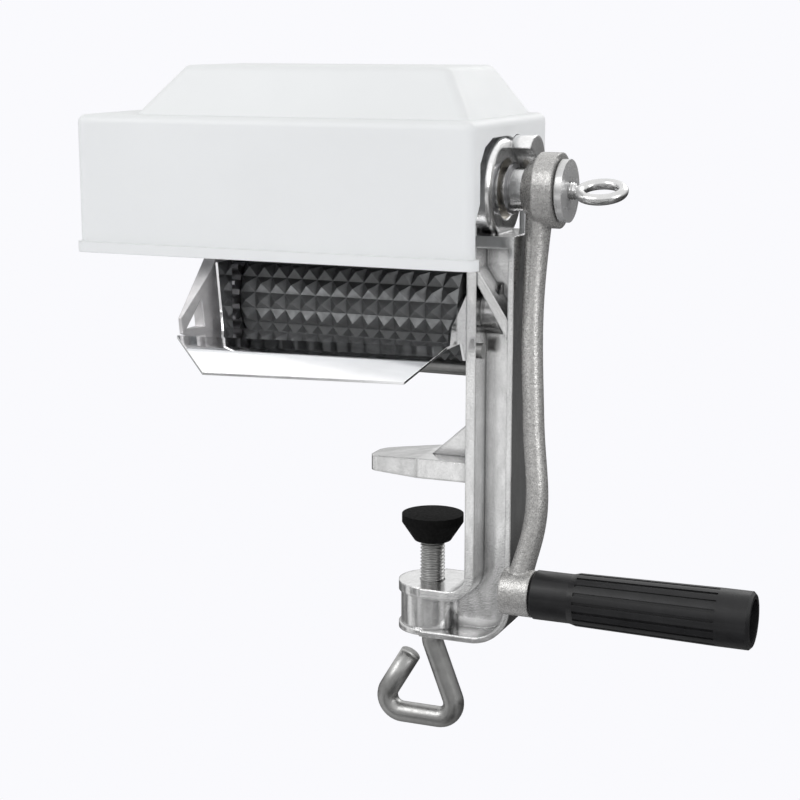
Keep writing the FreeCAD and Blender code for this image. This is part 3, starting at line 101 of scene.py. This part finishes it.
# A thread's flat crest and its flank, as shares of half a pitch.
THREAD_CREST = 0.08
THREAD_FLANK = 0.8

# Clamp screw: the handle's corners are (x, z) in millimetres, from the thread to the open end.
CLAMP_SHANK_RADIUS = 6.0 * MM
CLAMP_THREAD_FOOT = -80.5 * MM
CLAMP_THREAD_RUNOUT = 1.2 * MM
HANDLE_CORNERS = ((0.0, -79.5), (0.0, -85.5), (15.0, -125.0), (-30.0, -125.0), (-11.5, -94.0))

# Eye screw.
EYE_SHANK_RADIUS = 4.0 * MM
EYE_THREAD_RUNOUT = 0.8 * MM
EYE_SHANK_PAST_WASHER = 3.0 * MM
EYE_HALF_LENGTH = 9.9 * MM
EYE_HALF_WIDTH = 8.6 * MM
EYE_TILT = math.radians(20.0)
EYE_STEPS = 72

# The chute's gloss rolls level between these heights above its lowest point.
CHUTE_ROLL = (8.5 * MM, 12.5 * MM)


# Shader building.
def map_range(nodes, links, value, start, stop, low=0.0, high=1.0):
    """Maps start..stop to low..high, held at both ends."""
    node = nodes.new("ShaderNodeMapRange")
    limits = (("From Min", start), ("From Max", stop), ("To Min", low), ("To Max", high))
    for name, limit in limits:
        node.inputs[name].default_value = limit
    links.new(value, node.inputs["Value"])
    return node.outputs["Result"]


def grey_ramp(nodes, links, value, stops):
    """A ramp of greys through (place, brightness) stops."""
    node = nodes.new("ShaderNodeValToRGB")
    elements = node.color_ramp.elements
    while len(elements) < len(stops):
        elements.new(0.5)
    for element, (place, grey) in zip(elements, stops):
        element.position = place
        element.color = (grey, grey, grey, 1.0)
    links.new(value, node.inputs["Fac"])
    return node.outputs["Color"]


def by_ray(nodes, links, lighting, seen, mirrored, output):
    """Gives matt surfaces, the camera and mirrors each their own shader."""
    path = nodes.new("ShaderNodeLightPath")
    shader = lighting
    for ray, other in (("Is Camera Ray", seen), ("Is Glossy Ray", mirrored)):
        mix = nodes.new("ShaderNodeMixShader")
        links.new(path.outputs[ray], mix.inputs["Fac"])
        links.new(shader, mix.inputs[1])
        links.new(other, mix.inputs[2])
        shader = mix.outputs["Shader"]
    links.new(shader, output.inputs["Surface"])


class Finish:
    """A principled material varied by noise in the object's own space. Sizes are millimetres."""

    def __init__(self, name, colour, roughness, metallic=0.0, specular=0.5):
        self.material = bpy.data.materials.new(name)
        self.material.use_nodes = True
        self.nodes = self.material.node_tree.nodes
        self.links = self.material.node_tree.links
        self.shader = self.nodes["Principled BSDF"]
        self.shader.inputs["Metallic"].default_value = metallic
        self.shader.inputs["Specular IOR Level"].default_value = specular
        self.shader.inputs["Roughness"].default_value = roughness
        self.shader.inputs["Base Color"].default_value = (*colour, 1.0)
        self.colour = colour
        self.roughness = roughness
        self.place = self.nodes.new("ShaderNodeTexCoord")
        self.normal = None

    def noise(self, size, detail=3.0, stretch=EVEN):
        """Noise whose lumps are about that many millimetres across."""
        mapping = self.nodes.new("ShaderNodeMapping")
        mapping.inputs["Scale"].default_value = tuple(1.0 / (size * MM * s) for s in stretch)
        self.links.new(self.place.outputs["Object"], mapping.inputs["Vector"])
        texture = self.nodes.new("ShaderNodeTexNoise")
        texture.inputs["Scale"].default_value = 1.0
        texture.inputs["Detail"].default_value = detail
        self.links.new(mapping.outputs["Vector"], texture.inputs["Vector"])
        return texture.outputs["Fac"]

    def spread(self, value, low, high, span=NOISE_SPAN):
        """Maps that span of a value, usually a noise's, to low..high."""
        return map_range(self.nodes, self.links, value, *span, low, high)

    def mottle(self, size, share, **how):
        """Colour lighter and darker by that share in lumps of that size."""
        return self.tint(self.spread(self.noise(size, **how), 1.0 - share, 1.0 + share))

    def tint(self, factor):
        """Multiplies the colour by a grey factor."""
        tint = self.nodes.new("ShaderNodeMix")
        tint.data_type = "RGBA"
        tint.blend_type = "MULTIPLY"
        tint.inputs["Factor"].default_value = 1.0
        socket = self.shader.inputs["Base Color"]
        if socket.is_linked:
            self.links.new(socket.links[0].from_socket, tint.inputs["A"])
        else:
            tint.inputs["A"].default_value = (*self.colour, 1.0)
        grey = self.nodes.new("ShaderNodeCombineColor")
        for channel in ("Red", "Green", "Blue"):
            self.links.new(factor, grey.inputs[channel])
        self.links.new(grey.outputs["Color"], tint.inputs["B"])
        self.links.new(tint.outputs["Result"], socket)
        return self

    def gloss(self, size, wander, **how):
        """Roughness that wanders that far about its middle value."""
        value = self.spread(self.noise(size, **how), self.roughness - wander,
                            self.roughness + wander)
        self.links.new(value, self.shader.inputs["Roughness"])
        return self

    def soften(self, radius):
        """Light rolls round sharp edges as if they had that radius."""
        bevel = self.nodes.new("ShaderNodeBevel")
        bevel.samples = BEVEL_SAMPLES
        bevel.inputs["Radius"].default_value = radius * MM
        self.normal = bevel.outputs["Normal"]
        self.links.new(self.normal, self.shader.inputs["Normal"])
        return self

    def level(self, low, high):
        """Lights faces that look upwards as if they rolled level between those heights."""
        geometry = self.nodes.new("ShaderNodeNewGeometry")
        shares = []
        for output, span in (("Position", (low, high)), ("Normal", UPWARD_SPAN)):
            split = self.nodes.new("ShaderNodeSeparateXYZ")
            self.links.new(geometry.outputs[output], split.inputs["Vector"])
            shares.append(self.spread(split.outputs["Z"], 0.0, 1.0, span))
        share = self.nodes.new("ShaderNodeMath")
        share.operation = "MULTIPLY"
        self.links.new(shares[0], share.inputs[0])
        self.links.new(shares[1], share.inputs[1])
        blend = self.nodes.new("ShaderNodeMix")
        blend.data_type = "VECTOR"
        self.links.new(share.outputs["Value"], blend.inputs["Factor"])
        self.links.new(self.normal, blend.inputs["A"])
        blend.inputs["B"].default_value = (0.0, 0.0, 1.0)
        unit = self.nodes.new("ShaderNodeVectorMath")
        unit.operation = "NORMALIZE"
        self.links.new(blend.outputs["Result"], unit.inputs[0])
        self.normal = unit.outputs["Vector"]
        return self

    def bump(self, size, height, strength=1.0, **how):
        """Fine relief of that height."""
        node = self.nodes.new("ShaderNodeBump")
        node.inputs["Strength"].default_value = strength
        node.inputs["Distance"].default_value = height * MM
        self.links.new(self.noise(size, **how), node.inputs["Height"])
        if self.normal is not None:
            self.links.new(self.normal, node.inputs["Normal"])
        self.normal = node.outputs["Normal"]
        self.links.new(self.normal, self.shader.inputs["Normal"])
        return self

    def shade_hollows(self, reach, share):
        """Painted shade: colour darker by that share in hollows narrower than that reach."""
        hollow = self.nodes.new("ShaderNodeAmbientOcclusion")
        hollow.samples = HOLLOW_SAMPLES
        hollow.only_local = True
        hollow.inputs["Distance"].default_value = reach * MM
        return self.tint(self.spread(hollow.outputs["AO"], 1.0 - share, 1.0, HOLLOW_SPAN))

    def coat(self, weight, roughness):
        """Clear gloss over the colour."""
        self.shader.inputs["Coat Weight"].default_value = weight
        self.shader.inputs["Coat Roughness"].default_value = roughness
        return self


def dress(names, finish):
    """Gives CAD nodes one finish."""
    for name in names:
        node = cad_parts[name]
        node.data.materials.clear()
        node.data.materials.append(finish.material)


# Mesh building.
def mesh_piece(name, points, faces, finish):
    """A new object from points and faces."""
    mesh = bpy.data.meshes.new(name)
    mesh.from_pydata([tuple(point) for point in points], [], faces)
    mesh.validate()
    mesh.update()
    work = bmesh.new()
    work.from_mesh(mesh)
    bmesh.ops.recalc_face_normals(work, faces=work.faces)
    work.to_mesh(mesh)
    work.free()
    mesh.materials.append(finish.material)
    piece = bpy.data.objects.new(name, mesh)
    bpy.context.scene.collection.objects.link(piece)
    for polygon in mesh.polygons:
        polygon.use_smooth = True
    return piece


def threaded_bar(start, length, radius, pitch, depth, runout, around=40, steps=8):
    """Points and faces of a closed bar along Z with a helical vee thread that fades at its ends."""
    rings = max(2, int(round(length / pitch * steps)))
    points = []
    for ring in range(rings + 1):
        height = length * ring / rings
        fade = min(1.0, height / runout, (length - height) / runout)
        for side in range(around):
            turn = 2 * math.pi * side / around
            phase = (height / pitch - side / around) % 1.0
            vee = abs(2 * phase - 1)
            vee = min(1.0, max(0.0, (vee - THREAD_CREST) / THREAD_FLANK))
            reach = radius - depth * (vee if fade >= 1.0 else fade * vee + (1 - fade))
            points.append((reach * math.cos(turn), reach * math.sin(turn), start + height))
    faces = []
    for ring in range(rings):
        for side in range(around):
            following = (side + 1) % around
            faces.append((ring * around + side, ring * around + following,
                          (ring + 1) * around + following, (ring + 1) * around + side))
    faces.append(tuple(reversed(range(around))))
    faces.append(tuple(rings * around + side for side in range(around)))
    return points, faces


def swept_tube(path, radius, closed=False, around=28):
    """Points and faces of a round tube along a list of points, its rings kept from twisting."""
    count = len(path)
    points = []
    side_way = None
    for index in range(count):
        if closed:
            ahead = path[(index + 1) % count] - path[index - 1]
        else:
            ahead = path[min(index + 1, count - 1)] - path[max(index - 1, 0)]
        ahead.normalize()
        if side_way is None:
            # The first ring starts from Y, unless the path runs along Y.
            side_way = ahead.orthogonal().normalized()
            if abs(ahead.y) < 0.9:
                side_way = Vector((0, 1, 0))
        side_way = (side_way - ahead * side_way.dot(ahead)).normalized()
        other = ahead.cross(side_way)
        for side in range(around):
            turn = 2 * math.pi * side / around
            points.append(path[index] + side_way * (radius * math.cos(turn))
                          + other * (radius * math.sin(turn)))
    faces = []
    last = count if closed else count - 1
    for index in range(last):
        following = (index + 1) % count
        for side in range(around):
            beside = (side + 1) % around
            faces.append((index * around + side, index * around + beside,
                          following * around + beside, following * around + side))
    if not closed:
        faces.append(tuple(reversed(range(around))))
        faces.append(tuple((count - 1) * around + side for side in range(around)))
    return points, faces


def rounded_path(corners, bend, steps=14):
    """The corners' runs joined by arcs of one bend radius."""
    path = [corners[0]]
    for index in range(1, len(corners) - 1):
        corner = corners[index]
        arriving = (corners[index - 1] - corner).normalized()
        leaving = (corners[index + 1] - corner).normalized()
        half_turn = arriving.angle(leaving) / 2
        middle_way = (arriving + leaving).normalized()
        centre = corner + middle_way * (bend / math.sin(half_turn))
        setback = bend / math.tan(half_turn)
        first = corner + arriving * setback - centre
        last = corner + leaving * setback - centre
        whole = first.angle(last)
        axis = first.cross(last).normalized()
        for step in range(steps + 1):
            path.append(centre + Matrix.Rotation(whole * step / steps, 3, axis) @ first)
    path.append(corners[-1])
    return path


def joined(*parts):
    """Several lists of points and faces as one."""
    points = []
    faces = []
    for part_points, part_faces in parts:
        offset = len(points)
        points.extend(part_points)
        faces.extend(tuple(corner + offset for corner in face) for face in part_faces)
    return points, faces


# What a user may change.
def colour_property(name, description, default):
    """A colour of the panel."""
    return bpy.props.FloatVectorProperty(
        name=name, description=description, default=default, subtype="COLOR", size=3)


def length_property(name, description, default):
    """A length of the panel."""
    return bpy.props.FloatProperty(
        name=name, description=description, default=default, unit="LENGTH")


class TenderizerStage(bpy.types.PropertyGroup):
    """Camera, lamps and backdrop."""

    swing: bpy.props.FloatProperty(
        name="Camera swing", description="Turn of the camera to the crank's side",
        default=math.radians(22.5), subtype="ANGLE", unit="ROTATION")
    tilt: bpy.props.FloatProperty(
        name="Camera tilt", description="How far the camera looks down",
        default=math.radians(11.5), subtype="ANGLE", unit="ROTATION")
    distance: length_property(
        "Camera distance", "From the camera to the jaw's underside", 0.87)
    lens: bpy.props.FloatProperty(
        name="Lens", description="Focal length on a 36 mm wide sensor", default=81.0,
        subtype="DISTANCE_CAMERA", unit="CAMERA")
    backdrop: colour_property(
        "Backdrop", "Colour of the backdrop as the camera sees it", (0.955, 0.955, 0.985))
    fill: bpy.props.FloatProperty(
        name="Fill", description="Light of the surroundings on the object", default=0.62)
    key: bpy.props.FloatProperty(
        name="Key lamp", description="Power of the large soft lamp", default=9.0, unit="POWER")
    rim: bpy.props.FloatProperty(
        name="Rim lamps", description="Power of each lamp at the crank's side and behind",
        default=4.0, unit="POWER")
    floor_drop: length_property("Floor drop", "Depth of the floor below the origin", 0.30)


class TenderizerFinishes(bpy.types.PropertyGroup):
    """Colours of the finishes."""

    hood: colour_property("Hood", "White moulded hood", (0.80, 0.815, 0.82))
    bright_casting: colour_property("Bright casting", "Polished clamp frame", (0.80, 0.80, 0.80))
    dull_casting: colour_property("Dull casting", "Left end plate", (0.68, 0.67, 0.675))
    roller: colour_property("Rollers", "Studded rollers", (0.125, 0.128, 0.13))
    tinned: colour_property("Tinned iron", "Crank arm", (0.45, 0.445, 0.435))
    steel: colour_property("Polished steel", "Shafts, cap and eye", (0.62, 0.62, 0.62))
    zinc: colour_property("Zinc plate", "Clamp screw and small fasteners", (0.37, 0.37, 0.365))
    stainless: colour_property("Stainless sheet", "Chute and feed tray", (0.93, 0.93, 0.94))
    gears: colour_property("Gear steel", "Gears, keys and retaining rings", (0.30, 0.30, 0.31))
    bronze: colour_property("Bronze", "Bearing bushings", (0.42, 0.39, 0.34))
    grip: colour_property("Grip", "Black grip", (0.011, 0.011, 0.012))
    rubber: colour_property("Rubber", "Clamp pad", (0.004, 0.004, 0.004))


class TenderizerThreads(bpy.types.PropertyGroup):
    """Threads and bent rods."""

    clamp_pitch: length_property("Clamp pitch", "Pitch of the clamp screw's thread", 1.75 * MM)
    clamp_depth: length_property("Clamp depth", "Depth of the clamp screw's thread", 0.95 * MM)
    eye_pitch: length_property("Eye pitch", "Pitch of the eye screw's thread", 1.25 * MM)
    eye_depth: length_property("Eye depth", "Depth of the eye screw's thread", 0.7 * MM)
    handle_rod: length_property("Handle rod", "Radius of the handle's rod", 5.2 * MM)
    handle_bend: length_property("Handle bend", "Bend radius of the handle's corners", 8.0 * MM)
    eye_wire: length_property("Eye wire", "Radius of the eye's wire", 2.5 * MM)


def stage_sizes():
    """The camera, lamp and backdrop values."""
    return bpy.context.scene.tenderizer_stage


def finishes():
    """The colours."""
    return bpy.context.scene.tenderizer_finishes


def threads():
    """The sizes of threads and bent rods."""
    return bpy.context.scene.tenderizer_threads


def steel_finish(name, metallic=1.0):
    """Turned and polished steel with faint turning lines."""
    steel = Finish(name, finishes().steel, roughness=0.22, metallic=metallic)
    steel.mottle(size=6.0, share=0.05).gloss(size=2.0, wander=0.07, stretch=TURNING_BANDS)
    return steel.soften(radius=0.35).bump(size=0.5, height=0.012, stretch=TURNING_LINES)


def zinc_finish(name):
    """Satin grey plating with faint blooming."""
    zinc = Finish(name, finishes().zinc, roughness=0.36, metallic=1.0)
    zinc.mottle(size=5.0, share=0.10).gloss(size=1.5, wander=0.08)
    return zinc.soften(radius=0.3).bump(size=0.4, height=0.012)


# One operator for each piece or group of like pieces.
class BuildStage(bpy.types.Operator):
    """Sets the camera, lamps, floor and backdrop"""

    bl_idname = "tenderizer.stage"
    bl_label = "Studio stage"

    def execute(self, context):
        stage = stage_sizes()
        self.place_camera(context, stage)
        self.light_world(context, stage)
        self.hang_lamps(context, stage)
        self.lay_floor(stage)
        context.scene.view_settings.view_transform = "Standard"
        return {"FINISHED"}

    def place_camera(self, context, stage):
        """Looks at the part as the photo's camera did."""
        swing = stage.swing
        tilt = stage.tilt
        ahead = Vector((-math.sin(swing) * math.cos(tilt), math.cos(swing) * math.cos(tilt),
                        -math.sin(tilt)))
        right = Vector((math.cos(swing), math.sin(swing), 0))
        up = right.cross(ahead)
        focal = stage.lens / SENSOR_WIDTH * PHOTO_WIDTH
        place = right * (ORIGIN_RIGHT / focal) + up * (ORIGIN_UP / focal) + ahead
        place *= -stage.distance
        place.z -= CAMERA_DROP
        data = bpy.data.cameras.new("studio_camera")
        data.lens = stage.lens
        data.sensor_width = SENSOR_WIDTH
        data.clip_start = NEAR_CLIP
        data.clip_end = FAR_CLIP
        camera = bpy.data.objects.new("studio_camera", data)
        turn = Matrix((right, up, -ahead)).transposed().to_4x4()
        camera.matrix_world = Matrix.Translation(place) @ turn
        context.scene.collection.objects.link(camera)
        context.scene.camera = camera

    def light_world(self, context, stage):
        """Fills matt surfaces evenly, and shows mirrors a room that darkens to the horizon."""
        world = bpy.data.worlds.new("studio_world")
        world.use_nodes = True
        nodes = world.node_tree.nodes
        links = world.node_tree.links
        fill = nodes["Background"]
        fill.inputs["Color"].default_value = (1.0, 1.0, 1.0, 1.0)
        fill.inputs["Strength"].default_value = stage.fill
        seen = nodes.new("ShaderNodeBackground")
        seen.inputs["Color"].default_value = (*stage.backdrop, 1.0)
        mirrored = nodes.new("ShaderNodeBackground")
        mirrored.inputs["Strength"].default_value = ROOM_STRENGTH
        heading = nodes.new("ShaderNodeTexCoord")
        split = nodes.new("ShaderNodeSeparateXYZ")
        links.new(heading.outputs["Generated"], split.inputs["Vector"])
        rise = map_range(nodes, links, split.outputs["Z"], *ROOM_RISES)
        shade = grey_ramp(nodes, links, rise, ROOM_SHADES)
        links.new(shade, mirrored.inputs["Color"])
        by_ray(nodes, links, fill.outputs["Background"], seen.outputs["Background"],
               mirrored.outputs["Background"], nodes["World Output"])
        context.scene.world = world

    def hang_lamps(self, context, stage):
        """Hangs square soft lamps that face the part."""
        for name, place, width, power in LAMPS:
            data = bpy.data.lights.new(name, "AREA")
            data.shape = "SQUARE"
            data.size = width
            data.energy = getattr(stage, power)
            lamp = bpy.data.objects.new(name, data)
            aim = Vector(LAMP_TARGET) - Vector(place)
            turn = aim.to_track_quat("-Z", "Y").to_matrix().to_4x4()
            lamp.matrix_world = Matrix.Translation(place) @ turn
            context.scene.collection.objects.link(lamp)

    def lay_floor(self, stage):
        """Lays paper like the backdrop, that mirrors see as bands darkening to the back."""
        paper = Finish("pale floor", stage.backdrop, roughness=0.9)
        paper.mottle(size=300.0, share=0.01)
        nodes = paper.nodes
        links = paper.links
        seen = nodes.new("ShaderNodeEmission")
        seen.inputs["Color"].default_value = (*stage.backdrop, 1.0)
        place = nodes.new("ShaderNodeTexCoord")
        heading = nodes.new("ShaderNodeVectorMath")
        heading.operation = "DOT_PRODUCT"
        heading.inputs[1].default_value = BEHIND
        links.new(place.outputs["Object"], heading.inputs[0])
        distance = map_range(nodes, links, heading.outputs["Value"], *FLOOR_DISTANCES)
        noise = nodes.new("ShaderNodeTexNoise")
        noise.inputs["Scale"].default_value = BANDS_PER_METRE
        links.new(place.outputs["Object"], noise.inputs["Vector"])
        banded = nodes.new("ShaderNodeVectorMath")
        banded.operation = "MULTIPLY"
        links.new(grey_ramp(nodes, links, distance, FLOOR_SHADES), banded.inputs[0])
        links.new(grey_ramp(nodes, links, noise.outputs["Fac"], BAND_SHADES), banded.inputs[1])
        mirrored = nodes.new("ShaderNodeEmission")
        links.new(banded.outputs["Vector"], mirrored.inputs["Color"])
        by_ray(nodes, links, paper.shader.outputs["BSDF"], seen.outputs["Emission"],
               mirrored.outputs["Emission"], nodes["Material Output"])
        corners = [(across * FLOOR_REACH, along * FLOOR_REACH, -stage.floor_drop)
                   for across, along in ((-1, -1), (1, -1), (1, 1), (-1, 1))]
        floor = mesh_piece("pale_floor", corners, [(0, 1, 2, 3)], paper)


class FinishCastings(bpy.types.Operator):
    """Finishes the polished clamp frame and the dull left end plate"""

    bl_idname = "tenderizer.castings"
    bl_label = "Castings"

    def execute(self, context):
        bright = Finish("polished cast aluminium", finishes().bright_casting, roughness=0.17,
                        metallic=1.0)
        bright.mottle(size=7.0, share=0.07, detail=3.0, stretch=CAST_STREAKS)
        bright.mottle(size=1.2, share=0.05)
        bright.gloss(size=4.0, wander=0.06, detail=3.0, stretch=CAST_STREAKS)
        # Painted shade darkens the frame's hollows and creases within 9 mm.
        bright.shade_hollows(reach=9.0, share=0.65).soften(radius=1.3)
        bright.bump(size=9.0, height=0.22, detail=1.0, stretch=CAST_STREAKS)
        bright.bump(size=0.9, height=0.03)
        dress(["clamp_frame"], bright)
        dull = Finish("dull cast aluminium", finishes().dull_casting, roughness=0.42,
                      metallic=0.6)
        dull.mottle(size=7.0, share=0.12, detail=4.0).gloss(size=3.0, wander=0.08)
        dull.soften(radius=0.7).bump(size=0.9, height=0.05)
        dress(["left_end_plate"], dull)
        return {"FINISHED"}


class FinishRollers(bpy.types.Operator):
    """Finishes the studded rollers"""

    bl_idname = "tenderizer.rollers"
    bl_label = "Studded rollers"

    def execute(self, context):
        studs = Finish("cast studs", finishes().roller, roughness=0.45, metallic=0.75)
        studs.mottle(size=5.0, share=0.12, detail=4.0).gloss(size=2.0, wander=0.08)
        studs.soften(radius=0.35).bump(size=0.7, height=0.04)
        dress(["upper_roller", "lower_roller"], studs)
        return {"FINISHED"}


class FinishDrive(bpy.types.Operator):
    """Finishes the shafts, gears, keys, rings and bushings"""

    bl_idname = "tenderizer.drive"
    bl_label = "Shafts and gears"

    def execute(self, context):
        dress(["crank_shaft", "lower_shaft"], steel_finish("turned steel"))
        cut_steel = Finish("gear steel", finishes().gears, roughness=0.36, metallic=1.0)
        cut_steel.mottle(size=4.0, share=0.10).gloss(size=1.0, wander=0.06, stretch=CUTTER_LINES)
        cut_steel.soften(radius=0.2).bump(size=0.5, height=0.01)
        dress(["upper_gear", "lower_gear", "upper_key", "lower_key", "crank_shaft_rings",
               "lower_shaft_ring"], cut_steel)
        bronze = Finish("oiled bronze", finishes().bronze, roughness=0.38, metallic=1.0)
        bronze.mottle(size=2.0, share=0.12).gloss(size=1.0, wander=0.06)
        bronze.bump(size=0.3, height=0.012)
        dress(["crank_bushing", "roller_bushing", "left_upper_bushing", "left_lower_bushing"],
              bronze)
        return {"FINISHED"}


class FinishCrank(bpy.types.Operator):
    """Finishes the rough tinned crank arm and its cap washer"""

    bl_idname = "tenderizer.crank"
    bl_label = "Crank arm"

    def execute(self, context):
        tinned = Finish("tinned casting", finishes().tinned, roughness=0.30, metallic=0.65)
        tinned.mottle(size=1.6, share=0.16, detail=5.0).mottle(size=0.6, share=0.18)
        tinned.gloss(size=0.8, wander=0.14, detail=5.0).soften(radius=1.4)
        tinned.bump(size=1.5, height=0.16, detail=4.0).bump(size=0.6, height=0.10)
        dress(["crank_arm"], tinned)
        dress(["hub_washer"], steel_finish("cap steel", metallic=0.6))
        dress(["grip_spindle", "grip_washer"], zinc_finish("spindle plate"))
        return {"FINISHED"}


class FinishGrip(bpy.types.Operator):
    """Finishes the fluted black grip"""

    bl_idname = "tenderizer.grip"
    bl_label = "Grip"

    def execute(self, context):
        black = Finish("black moulding", finishes().grip, roughness=0.34, specular=0.28)
        black.mottle(size=8.0, share=0.25).gloss(size=2.5, wander=0.06)
        black.soften(radius=0.25).bump(size=0.6, height=0.012)
        black.coat(weight=0.08, roughness=0.18)
        dress(["crank_grip"], black)
        return {"FINISHED"}


class FinishHood(bpy.types.Operator):
    """Finishes the white moulded hood"""

    bl_idname = "tenderizer.hood"
    bl_label = "Hood"

    def execute(self, context):
        white = Finish("white moulding", finishes().hood, roughness=0.48)
        white.mottle(size=60.0, share=0.012).gloss(size=12.0, wander=0.04)
        white.soften(radius=0.6).bump(size=0.8, height=0.01, strength=0.5)
        dress(["hood"], white)
        return {"FINISHED"}


class FinishSheetMetal(bpy.types.Operator):
    """Finishes the stainless discharge chute and feed tray"""

    bl_idname = "tenderizer.sheet_metal"
    bl_label = "Chute and tray"

    def execute(self, context):
        mirror = Finish("mirror stainless", finishes().stainless, roughness=0.10, metallic=1.0)
        mirror.mottle(size=20.0, share=0.04)
        mirror.gloss(size=6.0, wander=0.03, stretch=ROLLING_LINES).soften(radius=0.25)
        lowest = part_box("discharge_chute")[0].z
        mirror.level(lowest + CHUTE_ROLL[0], lowest + CHUTE_ROLL[1])
        mirror.bump(size=30.0, height=0.05, detail=1.0)
        dress(["discharge_chute", "feed_tray"], mirror)
        return {"FINISHED"}


class FinishFasteners(bpy.types.Operator):
    """Finishes the tie rods, nuts and small screws"""

    bl_idname = "tenderizer.fasteners"
    bl_label = "Tie rods and screws"

    def execute(self, context):
        dress(["tie_rods", "tie_rod_nuts", "chute_screws", "feed_tray_screws"],
              zinc_finish("fastener plate"))
        return {"FINISHED"}


class BuildClampScrew(bpy.types.Operator):
    """Builds the clamp screw with its thread and bent handle, and finishes the pad"""

    bl_idname = "tenderizer.clamp_screw"
    bl_label = "Clamp screw"

    def execute(self, context):
        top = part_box("clamp_screw")[1].z
        sizes = threads()
        bar = threaded_bar(CLAMP_THREAD_FOOT, top - CLAMP_THREAD_FOOT, CLAMP_SHANK_RADIUS,
                           sizes.clamp_pitch, sizes.clamp_depth, CLAMP_THREAD_RUNOUT)
        corners = [Vector((across * MM, 0, height * MM)) for across, height in HANDLE_CORNERS]
        handle = swept_tube(rounded_path(corners, sizes.handle_bend), sizes.handle_rod)
        screw = mesh_piece("threaded_clamp_screw", *joined(bar, handle),
                           zinc_finish("clamp screw plate"))
        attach(screw, "screw")
        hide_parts("clamp_screw")
        rubber = Finish("black rubber", finishes().rubber, roughness=0.8, specular=0.12)
        rubber.mottle(size=2.0, share=0.3).gloss(size=1.5, wander=0.1)
        rubber.soften(radius=0.5).bump(size=0.9, height=0.08)
        dress(["clamp_pad"], rubber)
        return {"FINISHED"}


class BuildEyeScrew(bpy.types.Operator):
    """Builds the eye screw with its thread and oval eye"""

    bl_idname = "tenderizer.eye_screw"
    bl_label = "Eye screw"

    def execute(self, context):
        low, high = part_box("eye_screw")
        sizes = threads()
        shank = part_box("hub_washer")[1].x + EYE_SHANK_PAST_WASHER - low.x
        middle = (low.z + high.z) / 2
        bar_points, bar_faces = threaded_bar(0.0, shank, EYE_SHANK_RADIUS, sizes.eye_pitch,
                                             sizes.eye_depth, EYE_THREAD_RUNOUT)
        lying = [(low.x + point[2], point[0], middle + point[1]) for point in bar_points]
        centre = Vector((high.x - sizes.eye_wire - EYE_HALF_LENGTH, 0, middle))
        across = Vector((0, math.cos(EYE_TILT), math.sin(EYE_TILT)))
        path = []
        for step in range(EYE_STEPS):
            turn = 2 * math.pi * step / EYE_STEPS
            path.append(centre + Vector((EYE_HALF_LENGTH * math.cos(turn), 0, 0))
                        + across * (EYE_HALF_WIDTH * math.sin(turn)))
        ring = swept_tube(path, sizes.eye_wire, closed=True)
        eye = mesh_piece("threaded_eye_screw", *joined((lying, bar_faces), ring),
                         steel_finish("eye steel"))
        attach(eye, "eye")
        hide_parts("eye_screw")
        return {"FINISHED"}


OPERATORS = (BuildStage, FinishCastings, FinishRollers, FinishDrive, FinishCrank, FinishGrip,
             FinishHood, FinishSheetMetal, FinishFasteners, BuildClampScrew, BuildEyeScrew)


class TenderizerPanel(bpy.types.Panel):
    """Lists the tenderizer's pieces and sizes"""

    bl_idname = "VIEW3D_PT_tenderizer"
    bl_label = "Meat tenderizer"
    bl_space_type = "VIEW_3D"
    bl_region_type = "UI"
    bl_category = "Tenderizer"

    def draw(self, context):
        for operator in OPERATORS:
            self.layout.operator(operator.bl_idname)
        for group in (stage_sizes(), finishes(), threads()):
            box = self.layout.box()
            for name in group.__annotations__:
                box.prop(group, name)


CLASSES = (TenderizerStage, TenderizerFinishes, TenderizerThreads, *OPERATORS, TenderizerPanel)


def register():
    for item in CLASSES:
        bpy.utils.register_class(item)
    scene = bpy.types.Scene
    scene.tenderizer_stage = bpy.props.PointerProperty(type=TenderizerStage)
    scene.tenderizer_finishes = bpy.props.PointerProperty(type=TenderizerFinishes)
    scene.tenderizer_threads = bpy.props.PointerProperty(type=TenderizerThreads)


def unregister():
    scene = bpy.types.Scene
    del scene.tenderizer_threads
    del scene.tenderizer_finishes
    del scene.tenderizer_stage
    for item in reversed(CLASSES):
        bpy.utils.unregister_class(item)


def main():
    register()
    for operator in OPERATORS:
        group, name = operator.bl_idname.split(".")
        getattr(getattr(bpy.ops, group), name)()
    bpy.context.view_layer.update()


if __name__ == "__main__":
    main()
